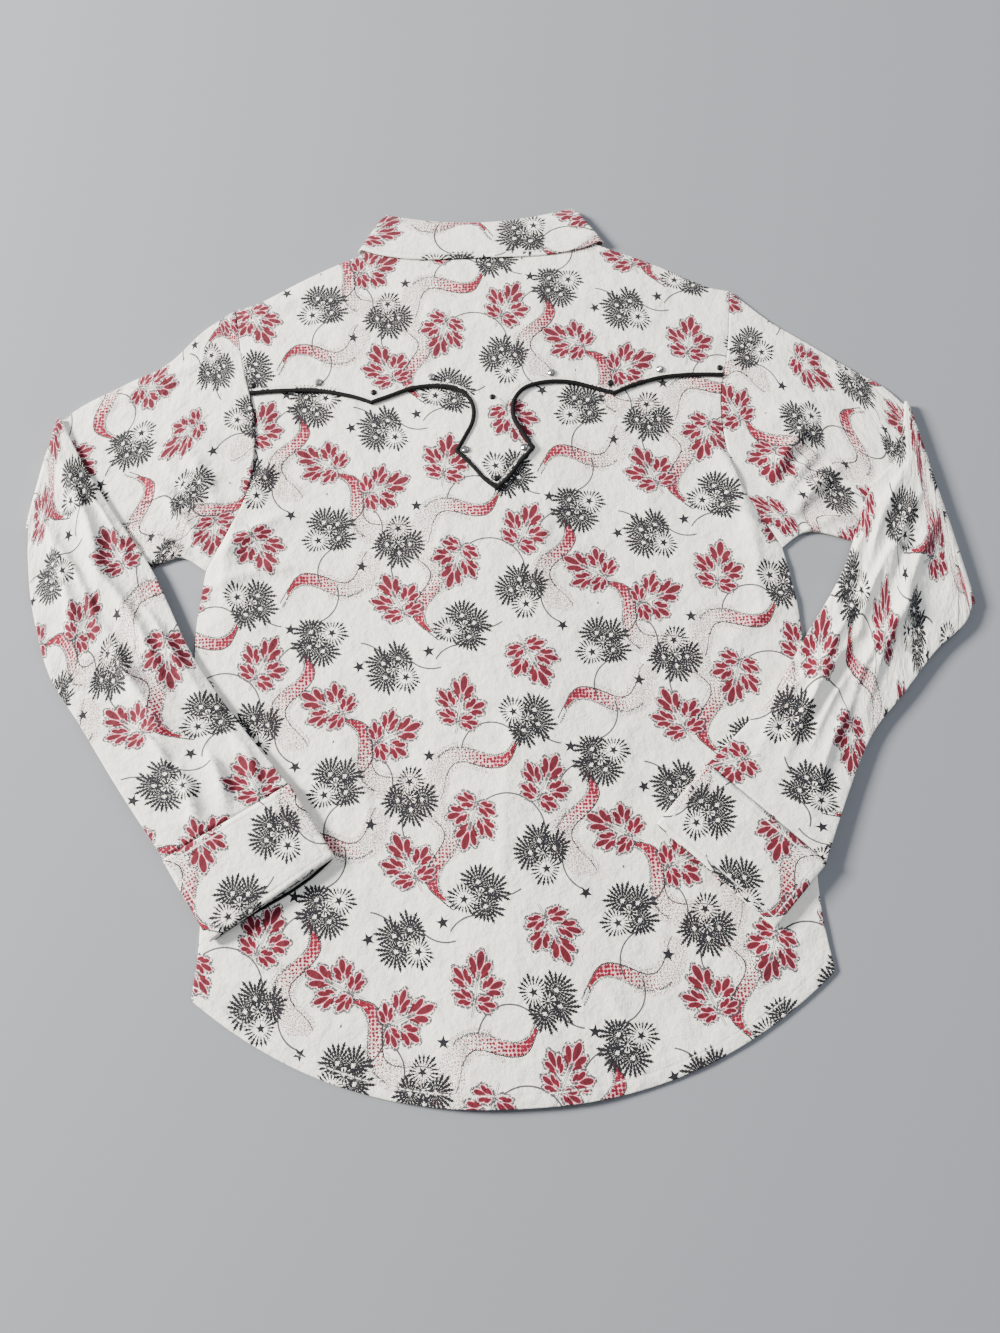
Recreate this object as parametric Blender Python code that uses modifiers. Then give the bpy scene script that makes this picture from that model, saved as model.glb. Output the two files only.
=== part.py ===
"""Western snap shirt in printed cotton lawn, laid flat and face down.

The two fronts lie lowest, the back and its shaped yoke cover them, and each sleeve is one flat
tube that turns back on itself at the elbow, so that its cuff rests on the back panel. X runs to the
wearer's right, +Y to the collar and +Z up. The origin is the middle of the underside.
All sizes below are in millimetres, and MM turns them to metres.
"""
import math

import bpy
import bmesh
from mathutils import Vector

MM = 0.001

# Cloth and the air between pieces
WALL = 1.2                # one layer of lawn with its seam allowance
CUFF_WALL = 1.5           # two plies and their interlining
GAP = 0.3                 # between pieces that meet
SLOPE_GAP = 0.45          # under what rests on sloping cloth
SEAM_CLEAR = 0.8          # between the sleeve head and the body, where the walls turn
CELL = (28.0, 44.0)       # mesh cell that all flat sheets share, so that their facets lie parallel
PLY = WALL + GAP          # height that each layer adds to the stack

# Body outline, measured from the centre line
HEM_Y = -381.0            # lowest point of the shirt tail
HEM_RISE = 85.0           # from the tail up to the side-seam corner
HEM_CURVE = 2.35          # how late the tail turns up
HEM_HALF = 241.0          # centre line to the side-seam corner
SIDE_SEAM = (             # y, half width
    (-296.0, 241.0),
    (-230.0, 236.0),
    (-90.0, 245.0),
    (-15.0, 247.0),
    (43.0, 240.0),
)
ARMHOLE = (               # x, y from the armpit up to the shoulder
    (240.0, 43.0),
    (207.0, 112.0),
    (202.0, 176.0),
    (213.0, 232.0),
    (221.0, 289.0),
)
SHOULDER = (              # x, y from the armhole to the neck side
    (221.0, 289.0),
    (199.0, 295.0),
    (158.0, 317.0),
    (108.0, 339.0),
    (88.0, 350.0),
)
BACK_NECK_Y = 343.0
FRONT_NECK_Y = 284.0
NECK_HALF = 88.0
BACK_TOP_Y = 222.0        # the back panel runs this far up under the yoke

# Heights of the stack
PLACKET_HALF = 15.5
SNAP_RISE = 1.7           # the placket rides on its snap caps
WING_RISE = 1.6           # the fronts ride on the collar's wings
FLAT_X = 105.0            # outside this the body lies flat
CENTRE_X = 24.0           # inside this it is at full height

# Yoke seam, right half, from the armhole to the arrow's point, measured from YOKE_X
YOKE_X = 4.0
YOKE_SCALLOP = (          # x, y
    (206.0, 205.0),
    (188.0, 206.0),
    (166.0, 206.0),
    (146.0, 204.0),
    (122.0, 198.0),
    (105.5, 191.5),
)
YOKE_ARCH = (
    (105.5, 191.5),
    (90.0, 196.5),
    (70.0, 202.5),
    (50.0, 203.5),
    (31.0, 199.5),
    (21.0, 191.0),
    (17.0, 180.0),
    (18.5, 167.0),
    (26.0, 152.5),
    (32.5, 141.0),
)
YOKE_ARROW = (
    (32.5, 141.0),
    (20.0, 127.0),
    (10.0, 114.0),
    (0.0, 105.0),
)
PIPING_R = 1.8

# Sleeves: one row for each section, over = shoulder-side edge, under = underarm-side edge.
# bow carries the middle of a section towards the body; mid is its height, fold the rise of its pleats.
#    over_x, over_y, under_x, under_y, bow, mid, fold
UPPER_ARM_LEFT = (
    (-249.0, 269.0, -262.0, 56.0, 14.0, 2.1, 0.4),
    (-279.0, 238.0, -290.0, 48.0, 4.0, 2.1, 0.6),
    (-312.0, 221.0, -325.0, 50.0, 0.0, 2.0, 0.0),
    (-350.0, 201.0, -364.0, 66.0, 0.0, 2.0, 0.0),
)
ELBOW_LEFT = (-368.0, 187.0, -388.0, 86.0, 0.0, 2.0, 0.0)
FOREARM_LEFT = (
    (-350.0, 150.0, -386.0, 55.0, 0.0, 6.8, 0.4),
    (-318.0, 97.0, -379.0, 12.0, 0.0, 6.8, 1.2),
    (-284.0, 45.0, -362.0, -42.0, 0.0, 6.6, 1.4),
    (-248.0, -30.0, -335.0, -84.0, 0.0, 6.4, 1.2),
    (-210.0, -86.0, -302.0, -136.0, 0.0, 7.2, 0.8),
    (-169.0, -138.5, -264.0, -191.5, 0.0, 8.4, 0.0),
)
UPPER_ARM_RIGHT = (
    (252.0, 258.0, 262.0, 56.0, 14.0, 2.1, 0.4),
    (282.0, 235.0, 290.0, 50.0, 4.0, 2.1, 0.6),
    (316.0, 209.0, 328.0, 32.0, 0.0, 2.0, 0.0),
    (344.0, 189.0, 366.0, 4.0, 0.0, 2.0, 0.0),
)
ELBOW_RIGHT = (360.0, 171.0, 388.5, -14.0, 0.0, 2.0, 0.0)
FOREARM_RIGHT = (
    (348.0, 124.0, 379.0, -31.0, 0.0, 6.8, 0.8),
    (317.0, 88.0, 352.0, -53.0, 0.0, 6.8, 2.2),
    (288.0, 22.0, 322.0, -86.0, 0.0, 6.6, 3.0),
    (253.0, -30.0, 293.0, -117.0, 0.0, 6.4, 2.8),
    (213.0, -86.0, 270.0, -157.0, 0.0, 7.2, 1.6),
    (159.0, -136.5, 242.0, -216.0, 0.0, 8.4, 0.0),
)
SLEEVE_HALF = 2.0         # half the thickness of a flattened sleeve
FACE_SHARES = [0.12 + 0.76 * i / 6 for i in range(7)]   # points across a sleeve's flat faces
ARMHOLE_LENGTH = 255.0    # along the seam, close enough to round its two ends
TURN_R = 2.4              # radius of the turn at the elbow, to the sleeve's middle

# Cuffs: seam edge and hand edge, in the sleeves' columns
CUFF_LEFT = (
    (-168.7, -138.9, -263.7, -191.9, 0.0, 8.4, 0.0),
    (-134.0, -196.0, -226.0, -254.0, 1.5, 8.4, 0.0),
)
CUFF_RIGHT = (
    (158.6, -136.9, 241.6, -216.4, 0.0, 8.4, 0.0),
    (116.0, -182.0, 197.0, -262.0, -1.5, 8.4, 0.0),
)
CUFF_HALF = 2.4
CUFF_PIPING_R = 1.2
CUFF_PIPING_Z = 4.4
CUFF_PIPING_PEEK = {"left": 2.4, "right": 0.4}
CUFF_SNAP_INSET = 15.0    # from the hand edge and the seam
CUFF_SNAP_ALONG = 0.3     # share of the cuff's width

# Collar
FOLD_MID_Y = 369.0        # the folded top edge at centre back
FOLD_END_Y = 380.5        # and at its corners
FOLD_HALF = 84.0
FALL_MID_Y = 330.0        # the leaf's free edge at centre back
FALL_END_Y = 343.0
FALL_HALF = 107.5
FALL_TOP = 7.9            # middle of the leaf over the yoke
FALL_BOTTOM = 0.6         # middle of the leaf under the fronts
STAND_TOP = 5.9
STAND_HALF = 85.0
NECK_DIP = 62.0           # how much lower the collar's fold runs at centre front
STAND_INSET = 10.0        # the stand stops this far short of the fold
FOLD_REACH = 1.3          # half height of the folded edge
FRONT_SHARE = 0.07        # the collar's front edges, as a share of its half width
POINT_X = 58.0            # collar points, from the centre line
POINT_Y = 262.0

# Hard trim
STUD_BLACK = (2.3, 1.5)   # radius, height
STUD_CLEAR = (3.3, 2.4)
SNAP_CAP = (5.0, 1.4)
BLACK_STUDS = (           # x from YOKE_X, y
    (-204.0, 212.0),
    (-103.0, 201.0),
    (0.0, 190.5),
    (0.0, 114.0),
    (103.0, 201.0),
    (204.0, 212.0),
)
CLEAR_STUDS = (
    (-149.0, 212.5),
    (-52.0, 212.0),
    (-25.0, 141.5),
    (25.0, 141.5),
    (52.0, 212.0),
    (149.0, 212.5),
)
FRONT_SNAPS = 7
FRONT_SNAP_TOP_Y = 238.0
FRONT_SNAP_PITCH = 86.0


def clear_scene():
    """Remove whatever objects the file opened with."""
    for thing in list(bpy.data.objects):
        bpy.data.objects.remove(thing, do_unlink=True)


def new_collection(name):
    collection = bpy.data.collections.new(name)
    bpy.context.scene.collection.children.link(collection)
    return collection


def new_material(name, colour, roughness, metallic=0.0):
    material = bpy.data.materials.new(name)
    material.use_nodes = True
    shader = material.node_tree.nodes["Principled BSDF"]
    shader.inputs["Base Color"].default_value = (*colour, 1.0)
    shader.inputs["Roughness"].default_value = roughness
    shader.inputs["Metallic"].default_value = metallic
    return material


def add_object(name, data, material, collection):
    thing = bpy.data.objects.new(name, data)
    collection.objects.link(thing)
    if material is not None:
        data.materials.append(material)
    return thing


def ease(low, high, value):
    """0 below low, 1 above high, with a smooth ramp between them."""
    share = min(max((value - low) / (high - low), 0.0), 1.0)
    return share * share * (3.0 - 2.0 * share)


def mirrored(points):
    """The left-hand copy of a right-hand run of points, in the opposite order."""
    return [(-x, y) for x, y in reversed(points)]


def curve_through(points, steps):
    """Catmull-Rom curve through the points, with a number of steps to each stretch."""
    ends = [points[0]] + list(points) + [points[-1]]
    run = []
    for i in range(1, len(ends) - 2):
        before, start, end, after = (Vector(p) for p in ends[i - 1:i + 3])
        for step in range(steps):
            t = step / steps
            run.append(tuple(0.5 * (2.0 * start + (end - before) * t
                                    + (2.0 * before - 5.0 * start + 4.0 * end - after) * t ** 2
                                    + (3.0 * start - before - 3.0 * end + after) * t ** 3)))
    run.append(tuple(points[-1]))
    return run


def move_sideways(points, distance):
    """The same run of points, moved to its left by a distance."""
    moved = []
    for i, point in enumerate(points):
        before = Vector(points[max(i - 1, 0)])
        after = Vector(points[min(i + 1, len(points) - 1)])
        along = (after - before).normalized()
        moved.append((point[0] - along.y * distance, point[1] + along.x * distance))
    return moved


# ---- outlines -------------------------------------------------------------------------------

def hem_y(x):
    return HEM_Y + HEM_RISE * abs(x / HEM_HALF) ** HEM_CURVE


def hem_edge(x_from, x_to, count):
    run = []
    for i in range(count + 1):
        x = x_from + (x_to - x_from) * i / count
        run.append((x, hem_y(x)))
    return run


def side_edge():
    """Right side seam, from the hem corner up to the armpit."""
    return curve_through([(half, y) for y, half in SIDE_SEAM], 2)


def armhole_place(share, clearance):
    """A point on the right armhole seam, from the shoulder (0) to the armpit (1)."""
    seam = move_sideways(curve_through(list(reversed(ARMHOLE)), 8), clearance)
    lengths = [0.0]
    for start, end in zip(seam, seam[1:]):
        lengths.append(lengths[-1] + (Vector(end) - Vector(start)).length)
    reach = share * lengths[-1]
    i = 0
    while i < len(seam) - 2 and lengths[i + 1] < reach:
        i += 1
    part = (reach - lengths[i]) / (lengths[i + 1] - lengths[i])
    return Vector(seam[i]).lerp(Vector(seam[i + 1]), part)


def armhole_edge():
    """Right armhole seam, from the armpit up to the shoulder, with the sleeve's own points."""
    return [tuple(armhole_place(share, 0.0)) for share in [1.0] + FACE_SHARES[::-1] + [0.0]]


def shoulder_edge():
    """Right shoulder, from the armhole to the neck side."""
    return curve_through(SHOULDER, 2)


def neck_edge(centre_y, count):
    """Right half of a neckline, from the neck side to the centre line."""
    side_y = SHOULDER[-1][1]
    run = []
    for i in range(1, count + 1):
        turn = 0.5 * math.pi * i / count
        run.append((NECK_HALF * math.cos(turn), side_y + (centre_y - side_y) * math.sin(turn)))
    return run


def yoke_shift(x):
    """How far the yoke's figure sits off the centre line; its ends stay on the armholes."""
    return YOKE_X * (1.0 - ease(110.0, 200.0, abs(x)))


def yoke_seam():
    """The yoke's lower edge from the right armhole to the left one, as the piping runs."""
    half = curve_through(YOKE_SCALLOP, 2)[:-1] + curve_through(YOKE_ARCH, 2)[:-1] + list(YOKE_ARROW)
    whole = half + mirrored(half)[1:]
    return [(x + yoke_shift(x), y) for x, y in whole]


# ---- heights of the cloth's underside -------------------------------------------------------

def centre_share(x, y):
    """1 along the placket, 0 where the body lies flat and above the front neckline."""
    return (1.0 - ease(CENTRE_X, FLAT_X, abs(x))) * (1.0 - ease(305.0, 345.0, y))


def wing_share(x, y):
    """1 where the collar's wings lie under the fronts."""
    return ease(180.0, 250.0, y) * (1.0 - ease(125.0, 175.0, abs(x)))


def under_front_left(x, y):
    wing = WING_RISE * wing_share(x, y)
    return wing + (SNAP_RISE - wing) * centre_share(x, y)


def under_front_right(x, y):
    wing = WING_RISE * wing_share(x, y)
    return wing + (SNAP_RISE + PLY - wing) * centre_share(x, y)


def under_back(x, y):
    return under_front_right(x, y) + PLY


def under_yoke(x, y):
    return under_back(x, y) + PLY * (1.0 - 0.6 * ease(262.0, 290.0, y) * ease(120.0, 190.0, abs(x)))


def facet_height(underside, x, y):
    """Height of a faceted sheet's underside, whichever way its cells are split."""
    column = math.floor(x / CELL[0])
    row = math.floor(y / CELL[1])
    u = x / CELL[0] - column
    v = y / CELL[1] - row
    near, far = [[underside((column + i) * CELL[0], (row + j) * CELL[1]) for i in (0, 1)] for j in (0, 1)]
    if u > v:
        rising = near[0] + u * (near[1] - near[0]) + v * (far[1] - near[1])
    else:
        rising = near[0] + v * (far[0] - near[0]) + u * (far[1] - far[0])
    if u + v < 1.0:
        falling = near[0] + u * (near[1] - near[0]) + v * (far[0] - near[0])
    else:
        falling = far[1] + (1.0 - u) * (far[0] - far[1]) + (1.0 - v) * (near[1] - far[1])
    return max(rising, falling)


# ---- pieces ---------------------------------------------------------------------------------

def sheet_of_cloth(name, outline, underside, material, collection, cutters):
    """A draped sheet of one wall's thickness, cut to its outline."""
    first = [math.floor(min(p[k] for p in outline) / CELL[k] - 0.2) for k in range(2)]
    last = [math.ceil(max(p[k] for p in outline) / CELL[k] + 0.2) for k in range(2)]
    cells = [last[k] - first[k] for k in range(2)]
    shape = bmesh.new()
    bmesh.ops.create_grid(shape, x_segments=cells[0], y_segments=cells[1], size=0.5)
    for vert in shape.verts:
        x = (first[0] + (vert.co.x + 0.5) * cells[0]) * CELL[0]
        y = (first[1] + (vert.co.y + 0.5) * cells[1]) * CELL[1]
        vert.co = Vector((x, y, underside(x, y))) * MM
    bmesh.ops.triangulate(shape, faces=shape.faces, quad_method="FIXED")
    mesh = bpy.data.meshes.new(name)
    shape.to_mesh(mesh)
    shape.free()
    panel = add_object(name, mesh, material, collection)
    solid = panel.modifiers.new("wall", "SOLIDIFY")
    solid.thickness = WALL * MM
    solid.offset = 1.0
    pattern = paper_pattern(name + "_pattern", outline, cutters)
    cut = panel.modifiers.new("cut to pattern", "BOOLEAN")
    cut.operation = "INTERSECT"
    cut.object = pattern
    return panel


def paper_pattern(name, outline, cutters):
    """A tall prism of the outline, which trims a sheet as a paper pattern does."""
    curve = bpy.data.curves.new(name, "CURVE")
    curve.dimensions = "2D"
    curve.fill_mode = "BOTH"
    curve.extrude = 30.0 * MM
    spline = curve.splines.new("POLY")
    spline.points.add(len(outline) - 1)
    for point, (x, y) in zip(spline.points, outline):
        point.co = (x * MM, y * MM, 0.0, 1.0)
    spline.use_cyclic_u = True
    flat = bpy.data.objects.new(name + "_curve", curve)
    cutters.objects.link(flat)
    bpy.context.view_layer.update()
    mesh = bpy.data.meshes.new_from_object(flat.evaluated_get(bpy.context.evaluated_depsgraph_get()))
    bpy.data.objects.remove(flat, do_unlink=True)
    shape = bmesh.new()
    shape.from_mesh(mesh)
    bmesh.ops.remove_doubles(shape, verts=shape.verts, dist=0.00001)
    bmesh.ops.recalc_face_normals(shape, faces=shape.faces)
    shape.to_mesh(mesh)
    shape.free()
    prism = add_object(name, mesh, None, cutters)
    prism.hide_render = True
    prism.display_type = "WIRE"
    return prism


def section_points(width, half, fold, pleated):
    """A flattened tube's section: share across it, and height from its middle.

    Its edges are round, of radius half. pleated is 1 when its upper face carries the pleats, else -1.
    """
    edge = half / width
    rise = [half + fold * math.sin(3.0 * math.pi * share) ** 2 for share in FACE_SHARES]
    plain = [half] * len(FACE_SHARES)
    upper, lower = (rise, plain) if pleated > 0 else (plain, rise)
    round_edge = [-0.5 * math.pi + math.pi * i / 4 for i in range(5)]
    points = [(edge * (1.0 - math.cos(turn)), half * math.sin(turn)) for turn in round_edge]
    points += list(zip(FACE_SHARES, upper))
    points += [(1.0 - edge * (1.0 - math.cos(turn)), -half * math.sin(turn)) for turn in round_edge]
    points += [(share, -height) for share, height in reversed(list(zip(FACE_SHARES, lower)))]
    return points


def flat_ring(row, half, turned_over):
    """One section of a flattened tube that lies level."""
    over_x, over_y, under_x, under_y, bow, mid, fold = row
    over = Vector((over_x, over_y))
    under = Vector((under_x, under_y))
    width = (under - over).length
    inward = Vector((-1.0 if over_x > 0.0 else 1.0, 0.0))
    ring = []
    facing = -1 if turned_over else 1
    for share, height in section_points(width, half, fold, facing):
        place = over.lerp(under, share) + inward * bow * 4.0 * share * (1.0 - share)
        ring.append((place.x, place.y, mid + facing * height))
    return ring


def armhole_ring(side, mid):
    """The sleeve head: a section that follows the armhole seam, a gap away from it."""
    ring = []
    for share, height in section_points(ARMHOLE_LENGTH, SLEEVE_HALF, 0.0, 1):
        place = armhole_place(share, SEAM_CLEAR)
        ring.append((side * place.x, place.y, mid + height))
    return ring


def turn_rings(row, steps):
    """Sections round the elbow, from lying face up to lying face down on the upper arm."""
    over = Vector(row[0:2])
    under = Vector(row[2:4])
    mid = row[5]
    along = (under - over).normalized()
    outward = Vector((along.y, -along.x))
    if outward.x * over.x < 0.0:
        outward = -outward
    rings = []
    for step in range(steps + 1):
        turn = math.pi * step / steps
        ring = []
        for share, height in section_points((under - over).length, SLEEVE_HALF, 0.0, 1):
            reach = TURN_R * math.sin(turn) - height * math.sin(turn)
            place = over.lerp(under, share) + outward * reach
            lift = mid + TURN_R * (1.0 - math.cos(turn)) + height * math.cos(turn)
            ring.append((place.x, place.y, lift))
        rings.append(ring)
    return rings


def tube_of_cloth(name, rings, wall, material, collection):
    """A flattened tube of cloth, open at both ends, lofted through its sections."""
    shape = bmesh.new()
    loops = [[shape.verts.new(Vector(point) * MM) for point in ring] for ring in rings]
    count = len(rings[0])
    for start, end in zip(loops, loops[1:]):
        for i in range(count):
            j = (i + 1) % count
            shape.faces.new((start[i], start[j], end[j], end[i]))
    bmesh.ops.recalc_face_normals(shape, faces=shape.faces)
    mesh = bpy.data.meshes.new(name)
    shape.to_mesh(mesh)
    shape.free()
    if not faces_outward(mesh):
        mesh.flip_normals()
    tube = add_object(name, mesh, material, collection)
    solid = tube.modifiers.new("wall", "SOLIDIFY")
    solid.thickness = wall * MM
    solid.offset = -1.0
    return tube


def faces_outward(mesh):
    """True when the highest face looks up."""
    highest = max(mesh.polygons, key=lambda face: face.center.z)
    return highest.normal.z > 0.0


def collar_heights():
    """Middle height of the collar's flattened loop, and the reach of its leaf and stand from it."""
    middle = 0.5 * (FALL_TOP + FALL_BOTTOM)
    return middle, FALL_TOP - middle, STAND_TOP - middle


def neck_stations():
    """Stations round the flattened collar, from one front edge by the back to the other.

    Each is a signed share of the half width, the turn round the loop's edge, and whether it is in front.
    """
    across = [FRONT_SHARE + (1.0 - FRONT_SHARE) * i / 6 for i in range(7)]
    turns = [-60.0, -20.0, 20.0, 60.0]
    back = [1.0 - 2.0 * i / 10 for i in range(11)]
    stations = [(share, -90.0, True) for share in across]
    stations += [(1.0, turn, turn < 0.0) for turn in turns]
    stations += [(share, 90.0, False) for share in back]
    stations += [(-1.0, turn, turn < 0.0) for turn in reversed(turns)]
    stations += [(-share, -90.0, True) for share in reversed(across)]
    return stations


def fall_place(share, front, drop):
    """Plan place on the collar leaf, drop running from its folded edge (0) to its free edge (1)."""
    side = 1.0 if share > 0.0 else -1.0
    part = abs(share)
    fold = (side * part * FOLD_HALF, FOLD_MID_Y + (FOLD_END_Y - FOLD_MID_Y) * part ** 2)
    edge = (side * part * FALL_HALF, FALL_MID_Y + (FALL_END_Y - FALL_MID_Y) * part ** 4)
    if front:
        along = (part - FRONT_SHARE) / (1.0 - FRONT_SHARE)
        fold = (side * part * FOLD_HALF, FOLD_END_Y - NECK_DIP * (1.0 - part) ** 1.3)
        edge = (side * (POINT_X + (FALL_HALF - POINT_X) * along), POINT_Y + (FALL_END_Y - POINT_Y) * along)
    return Vector(fold).lerp(Vector(edge), drop)


def stand_place(share, front, drop):
    """Plan place on the collar stand, drop running from under the fold (0) to the neck seam (1)."""
    side = 1.0 if share > 0.0 else -1.0
    part = abs(share)
    top = fall_place(share, front, 0.0) - Vector((0.0, STAND_INSET))
    neck_y = FRONT_NECK_Y if front else BACK_NECK_Y
    dip = (SHOULDER[-1][1] - neck_y) * math.sqrt(max(1.0 - part ** 2, 0.0))
    seam = Vector((side * part * STAND_HALF, SHOULDER[-1][1] + 2.0 * GAP - dip))
    return top.lerp(seam, drop)


def collar_piece(name, place, reach_at, drops, material, collection):
    """A strip of collar that runs round the flattened neck."""
    middle = collar_heights()[0]
    shape = bmesh.new()
    rows = []
    for drop in drops:
        row = []
        for share, turn, front in neck_stations():
            angle = math.radians(turn)
            spot = place(share, front, drop)
            reach = reach_at(drop)
            x = spot.x + math.copysign(reach * math.cos(angle), share)
            row.append(shape.verts.new(Vector((x, spot.y, middle + reach * math.sin(angle))) * MM))
        rows.append(row)
    for start, end in zip(rows, rows[1:]):
        for i in range(len(start) - 1):
            shape.faces.new((start[i], start[i + 1], end[i + 1], end[i]))
    bmesh.ops.recalc_face_normals(shape, faces=shape.faces)
    mesh = bpy.data.meshes.new(name)
    shape.to_mesh(mesh)
    shape.free()
    piece = add_object(name, mesh, material, collection)
    solid = piece.modifiers.new("wall", "SOLIDIFY")
    solid.thickness = WALL * MM
    solid.offset = 0.0
    return piece


def cord_piece(name, points, radius, material, collection):
    """Piping: a round cord along the points."""
    curve = bpy.data.curves.new(name, "CURVE")
    curve.dimensions = "3D"
    curve.bevel_depth = radius * MM
    curve.bevel_resolution = 1
    curve.use_fill_caps = True
    spline = curve.splines.new("POLY")
    spline.points.add(len(points) - 1)
    for point, place in zip(spline.points, points):
        point.co = (*(Vector(place) * MM), 1.0)
    return add_object(name, curve, material, collection)


def turned_mesh(name, radius, height):
    """Profile of a stud or a snap cap: a low dome on a flat foot."""
    profile = (
        (0.0, height),
        (0.5 * radius, 0.93 * height),
        (0.85 * radius, 0.66 * height),
        (radius, 0.25 * height),
        (0.94 * radius, 0.0),
        (0.0, 0.0),
    )
    mesh = bpy.data.meshes.new(name)
    verts = [(x * MM, 0.0, z * MM) for x, z in profile]
    mesh.from_pydata(verts, [(i, i + 1) for i in range(len(verts) - 1)], [])
    return mesh


def turned_piece(name, mesh, place, facing, collection):
    """A stud or a cap, turned from its profile; facing is 1 when its dome looks up."""
    piece = add_object(name, mesh, None, collection)
    piece.location = Vector(place) * MM
    if facing < 0:
        piece.rotation_euler = (math.pi, 0.0, 0.0)
    screw = piece.modifiers.new("turn", "SCREW")
    screw.steps = 12
    screw.render_steps = 12
    screw.use_merge_vertices = True
    screw.merge_threshold = 0.00001
    return piece


# ---- assembly -------------------------------------------------------------------------------

def front_outline(inner_x):
    """Right front: up the side and armhole, over the shoulder, down the neck and its inner edge."""
    neck = [p for p in neck_edge(FRONT_NECK_Y, 8) if p[0] > max(inner_x, 0.0)]
    top_y = FRONT_NECK_Y - 2.0 * GAP
    outline = hem_edge(inner_x, HEM_HALF, 14)[:-1] + side_edge()[:-1] + armhole_edge()[:-1]
    return outline + shoulder_edge() + neck + [(inner_x, top_y)]


def back_outline():
    """The back: its top edge runs straight across, under the yoke."""
    armhole = [p for p in armhole_edge() if p[1] < BACK_TOP_Y - 4.0]
    right = side_edge()[:-1] + armhole + [(armhole[-1][0] + 3.0, BACK_TOP_Y)]
    return hem_edge(-HEM_HALF, HEM_HALF, 24)[1:-1] + right + mirrored(right)


def yoke_outline():
    """The yoke: from its piped edge up the armholes, over the shoulders and round the neck."""
    seam = move_sideways(list(reversed(yoke_seam())), PIPING_R + GAP + 0.1)
    armhole = [p for p in armhole_edge() if p[1] > YOKE_SCALLOP[0][1] + 8.0]
    right = armhole[:-1] + shoulder_edge() + neck_edge(BACK_NECK_Y, 5)
    return seam + right + mirrored(right)[1:]


def build_body(cloth, trim, cap, parts, cutters):
    right_front = front_outline(-PLACKET_HALF + 1.5)
    left_front = mirrored(front_outline(PLACKET_HALF + GAP))
    strip = hem_edge(-PLACKET_HALF, PLACKET_HALF, 4)
    top_y = FRONT_NECK_Y - 2.0 * GAP
    strip += [(PLACKET_HALF, top_y), (-PLACKET_HALF, top_y)]
    sheet_of_cloth("front_left", left_front, under_front_left, cloth, parts, cutters)
    sheet_of_cloth("front_right", right_front, under_front_right, cloth, parts, cutters)
    sheet_of_cloth("front_placket", strip, under_front_left, cloth, parts, cutters)
    sheet_of_cloth("back", back_outline(), under_back, cloth, parts, cutters)
    sheet_of_cloth("back_yoke", yoke_outline(), under_yoke, cloth, parts, cutters)
    lie = WALL + SLOPE_GAP + PIPING_R
    path = [(x, y, facet_height(under_back, x, y) + lie) for x, y in yoke_seam()]
    cord_piece("yoke_piping", path, PIPING_R, trim, parts)
    for i in range(FRONT_SNAPS):
        y = FRONT_SNAP_TOP_Y - FRONT_SNAP_PITCH * i
        turned_piece(f"front_snap_{i + 1}", cap, (0.0, y, SNAP_CAP[1]), -1, parts)


def build_studs(black, clear, parts):
    for kind, mesh, table in (("black", black, BLACK_STUDS), ("clear", clear, CLEAR_STUDS)):
        for i, (x, y) in enumerate(table):
            x += yoke_shift(x)
            place = (x, y, facet_height(under_yoke, x, y) + WALL + SLOPE_GAP)
            turned_piece(f"yoke_stud_{kind}_{i + 1}", mesh, place, 1, parts)


def build_collar(cloth, parts):
    middle, fall_reach, stand_reach = collar_heights()
    fold_drops = (0.0, 0.04, 0.1, 0.4, 0.7, 1.0)
    collar_piece("collar_fall", fall_place,
                 lambda drop: FOLD_REACH + (fall_reach - FOLD_REACH) * ease(0.0, 0.1, drop),
                 fold_drops, cloth, parts)
    collar_piece("collar_stand", stand_place, lambda drop: stand_reach, (0.0, 0.5, 1.0), cloth, parts)


def build_sleeve(side, upper_arm, elbow, forearm, cuff, cloth, trim, cap, parts):
    hand = "right" if side > 0 else "left"
    rings = [armhole_ring(side, upper_arm[0][5])]
    rings += [flat_ring(row, SLEEVE_HALF, False) for row in upper_arm]
    rings += turn_rings(elbow, 4)
    rings += [flat_ring(row, SLEEVE_HALF, True) for row in forearm]
    tube_of_cloth("sleeve_" + hand, rings, WALL, cloth, parts)
    cuff_rings = [flat_ring(row, CUFF_HALF, True) for row in cuff]
    tube_of_cloth("cuff_" + hand, cuff_rings, CUFF_WALL, cloth, parts)

    seam, edge = cuff
    inner, outer = Vector(edge[0:2]), Vector(edge[2:4])
    down_arm = (Vector(edge[0:2]) - Vector(seam[0:2])).normalized()
    run = []
    for i in range(9):
        share = i / 8
        bulge = CUFF_PIPING_PEEK[hand] * 4.0 * share * (1.0 - share)
        place = inner.lerp(outer, 0.02 + 0.96 * share) + down_arm * bulge
        run.append((place.x, place.y, CUFF_PIPING_Z))
    cord_piece("cuff_piping_" + hand, run, CUFF_PIPING_R, trim, parts)
    for i, far in enumerate((CUFF_SNAP_INSET, (edge_depth(cuff) - CUFF_SNAP_INSET))):
        place = inner.lerp(outer, CUFF_SNAP_ALONG) - down_arm * far
        under_cuff = cuff[0][5] - CUFF_HALF - GAP
        turned_piece(f"cuff_snap_{hand}_{i + 1}", cap, (place.x, place.y, under_cuff), -1, parts)


def edge_depth(cuff):
    """From a cuff's seam to its hand edge."""
    seam, edge = cuff
    return (Vector(edge[0:2]) - Vector(seam[0:2])).length


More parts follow.
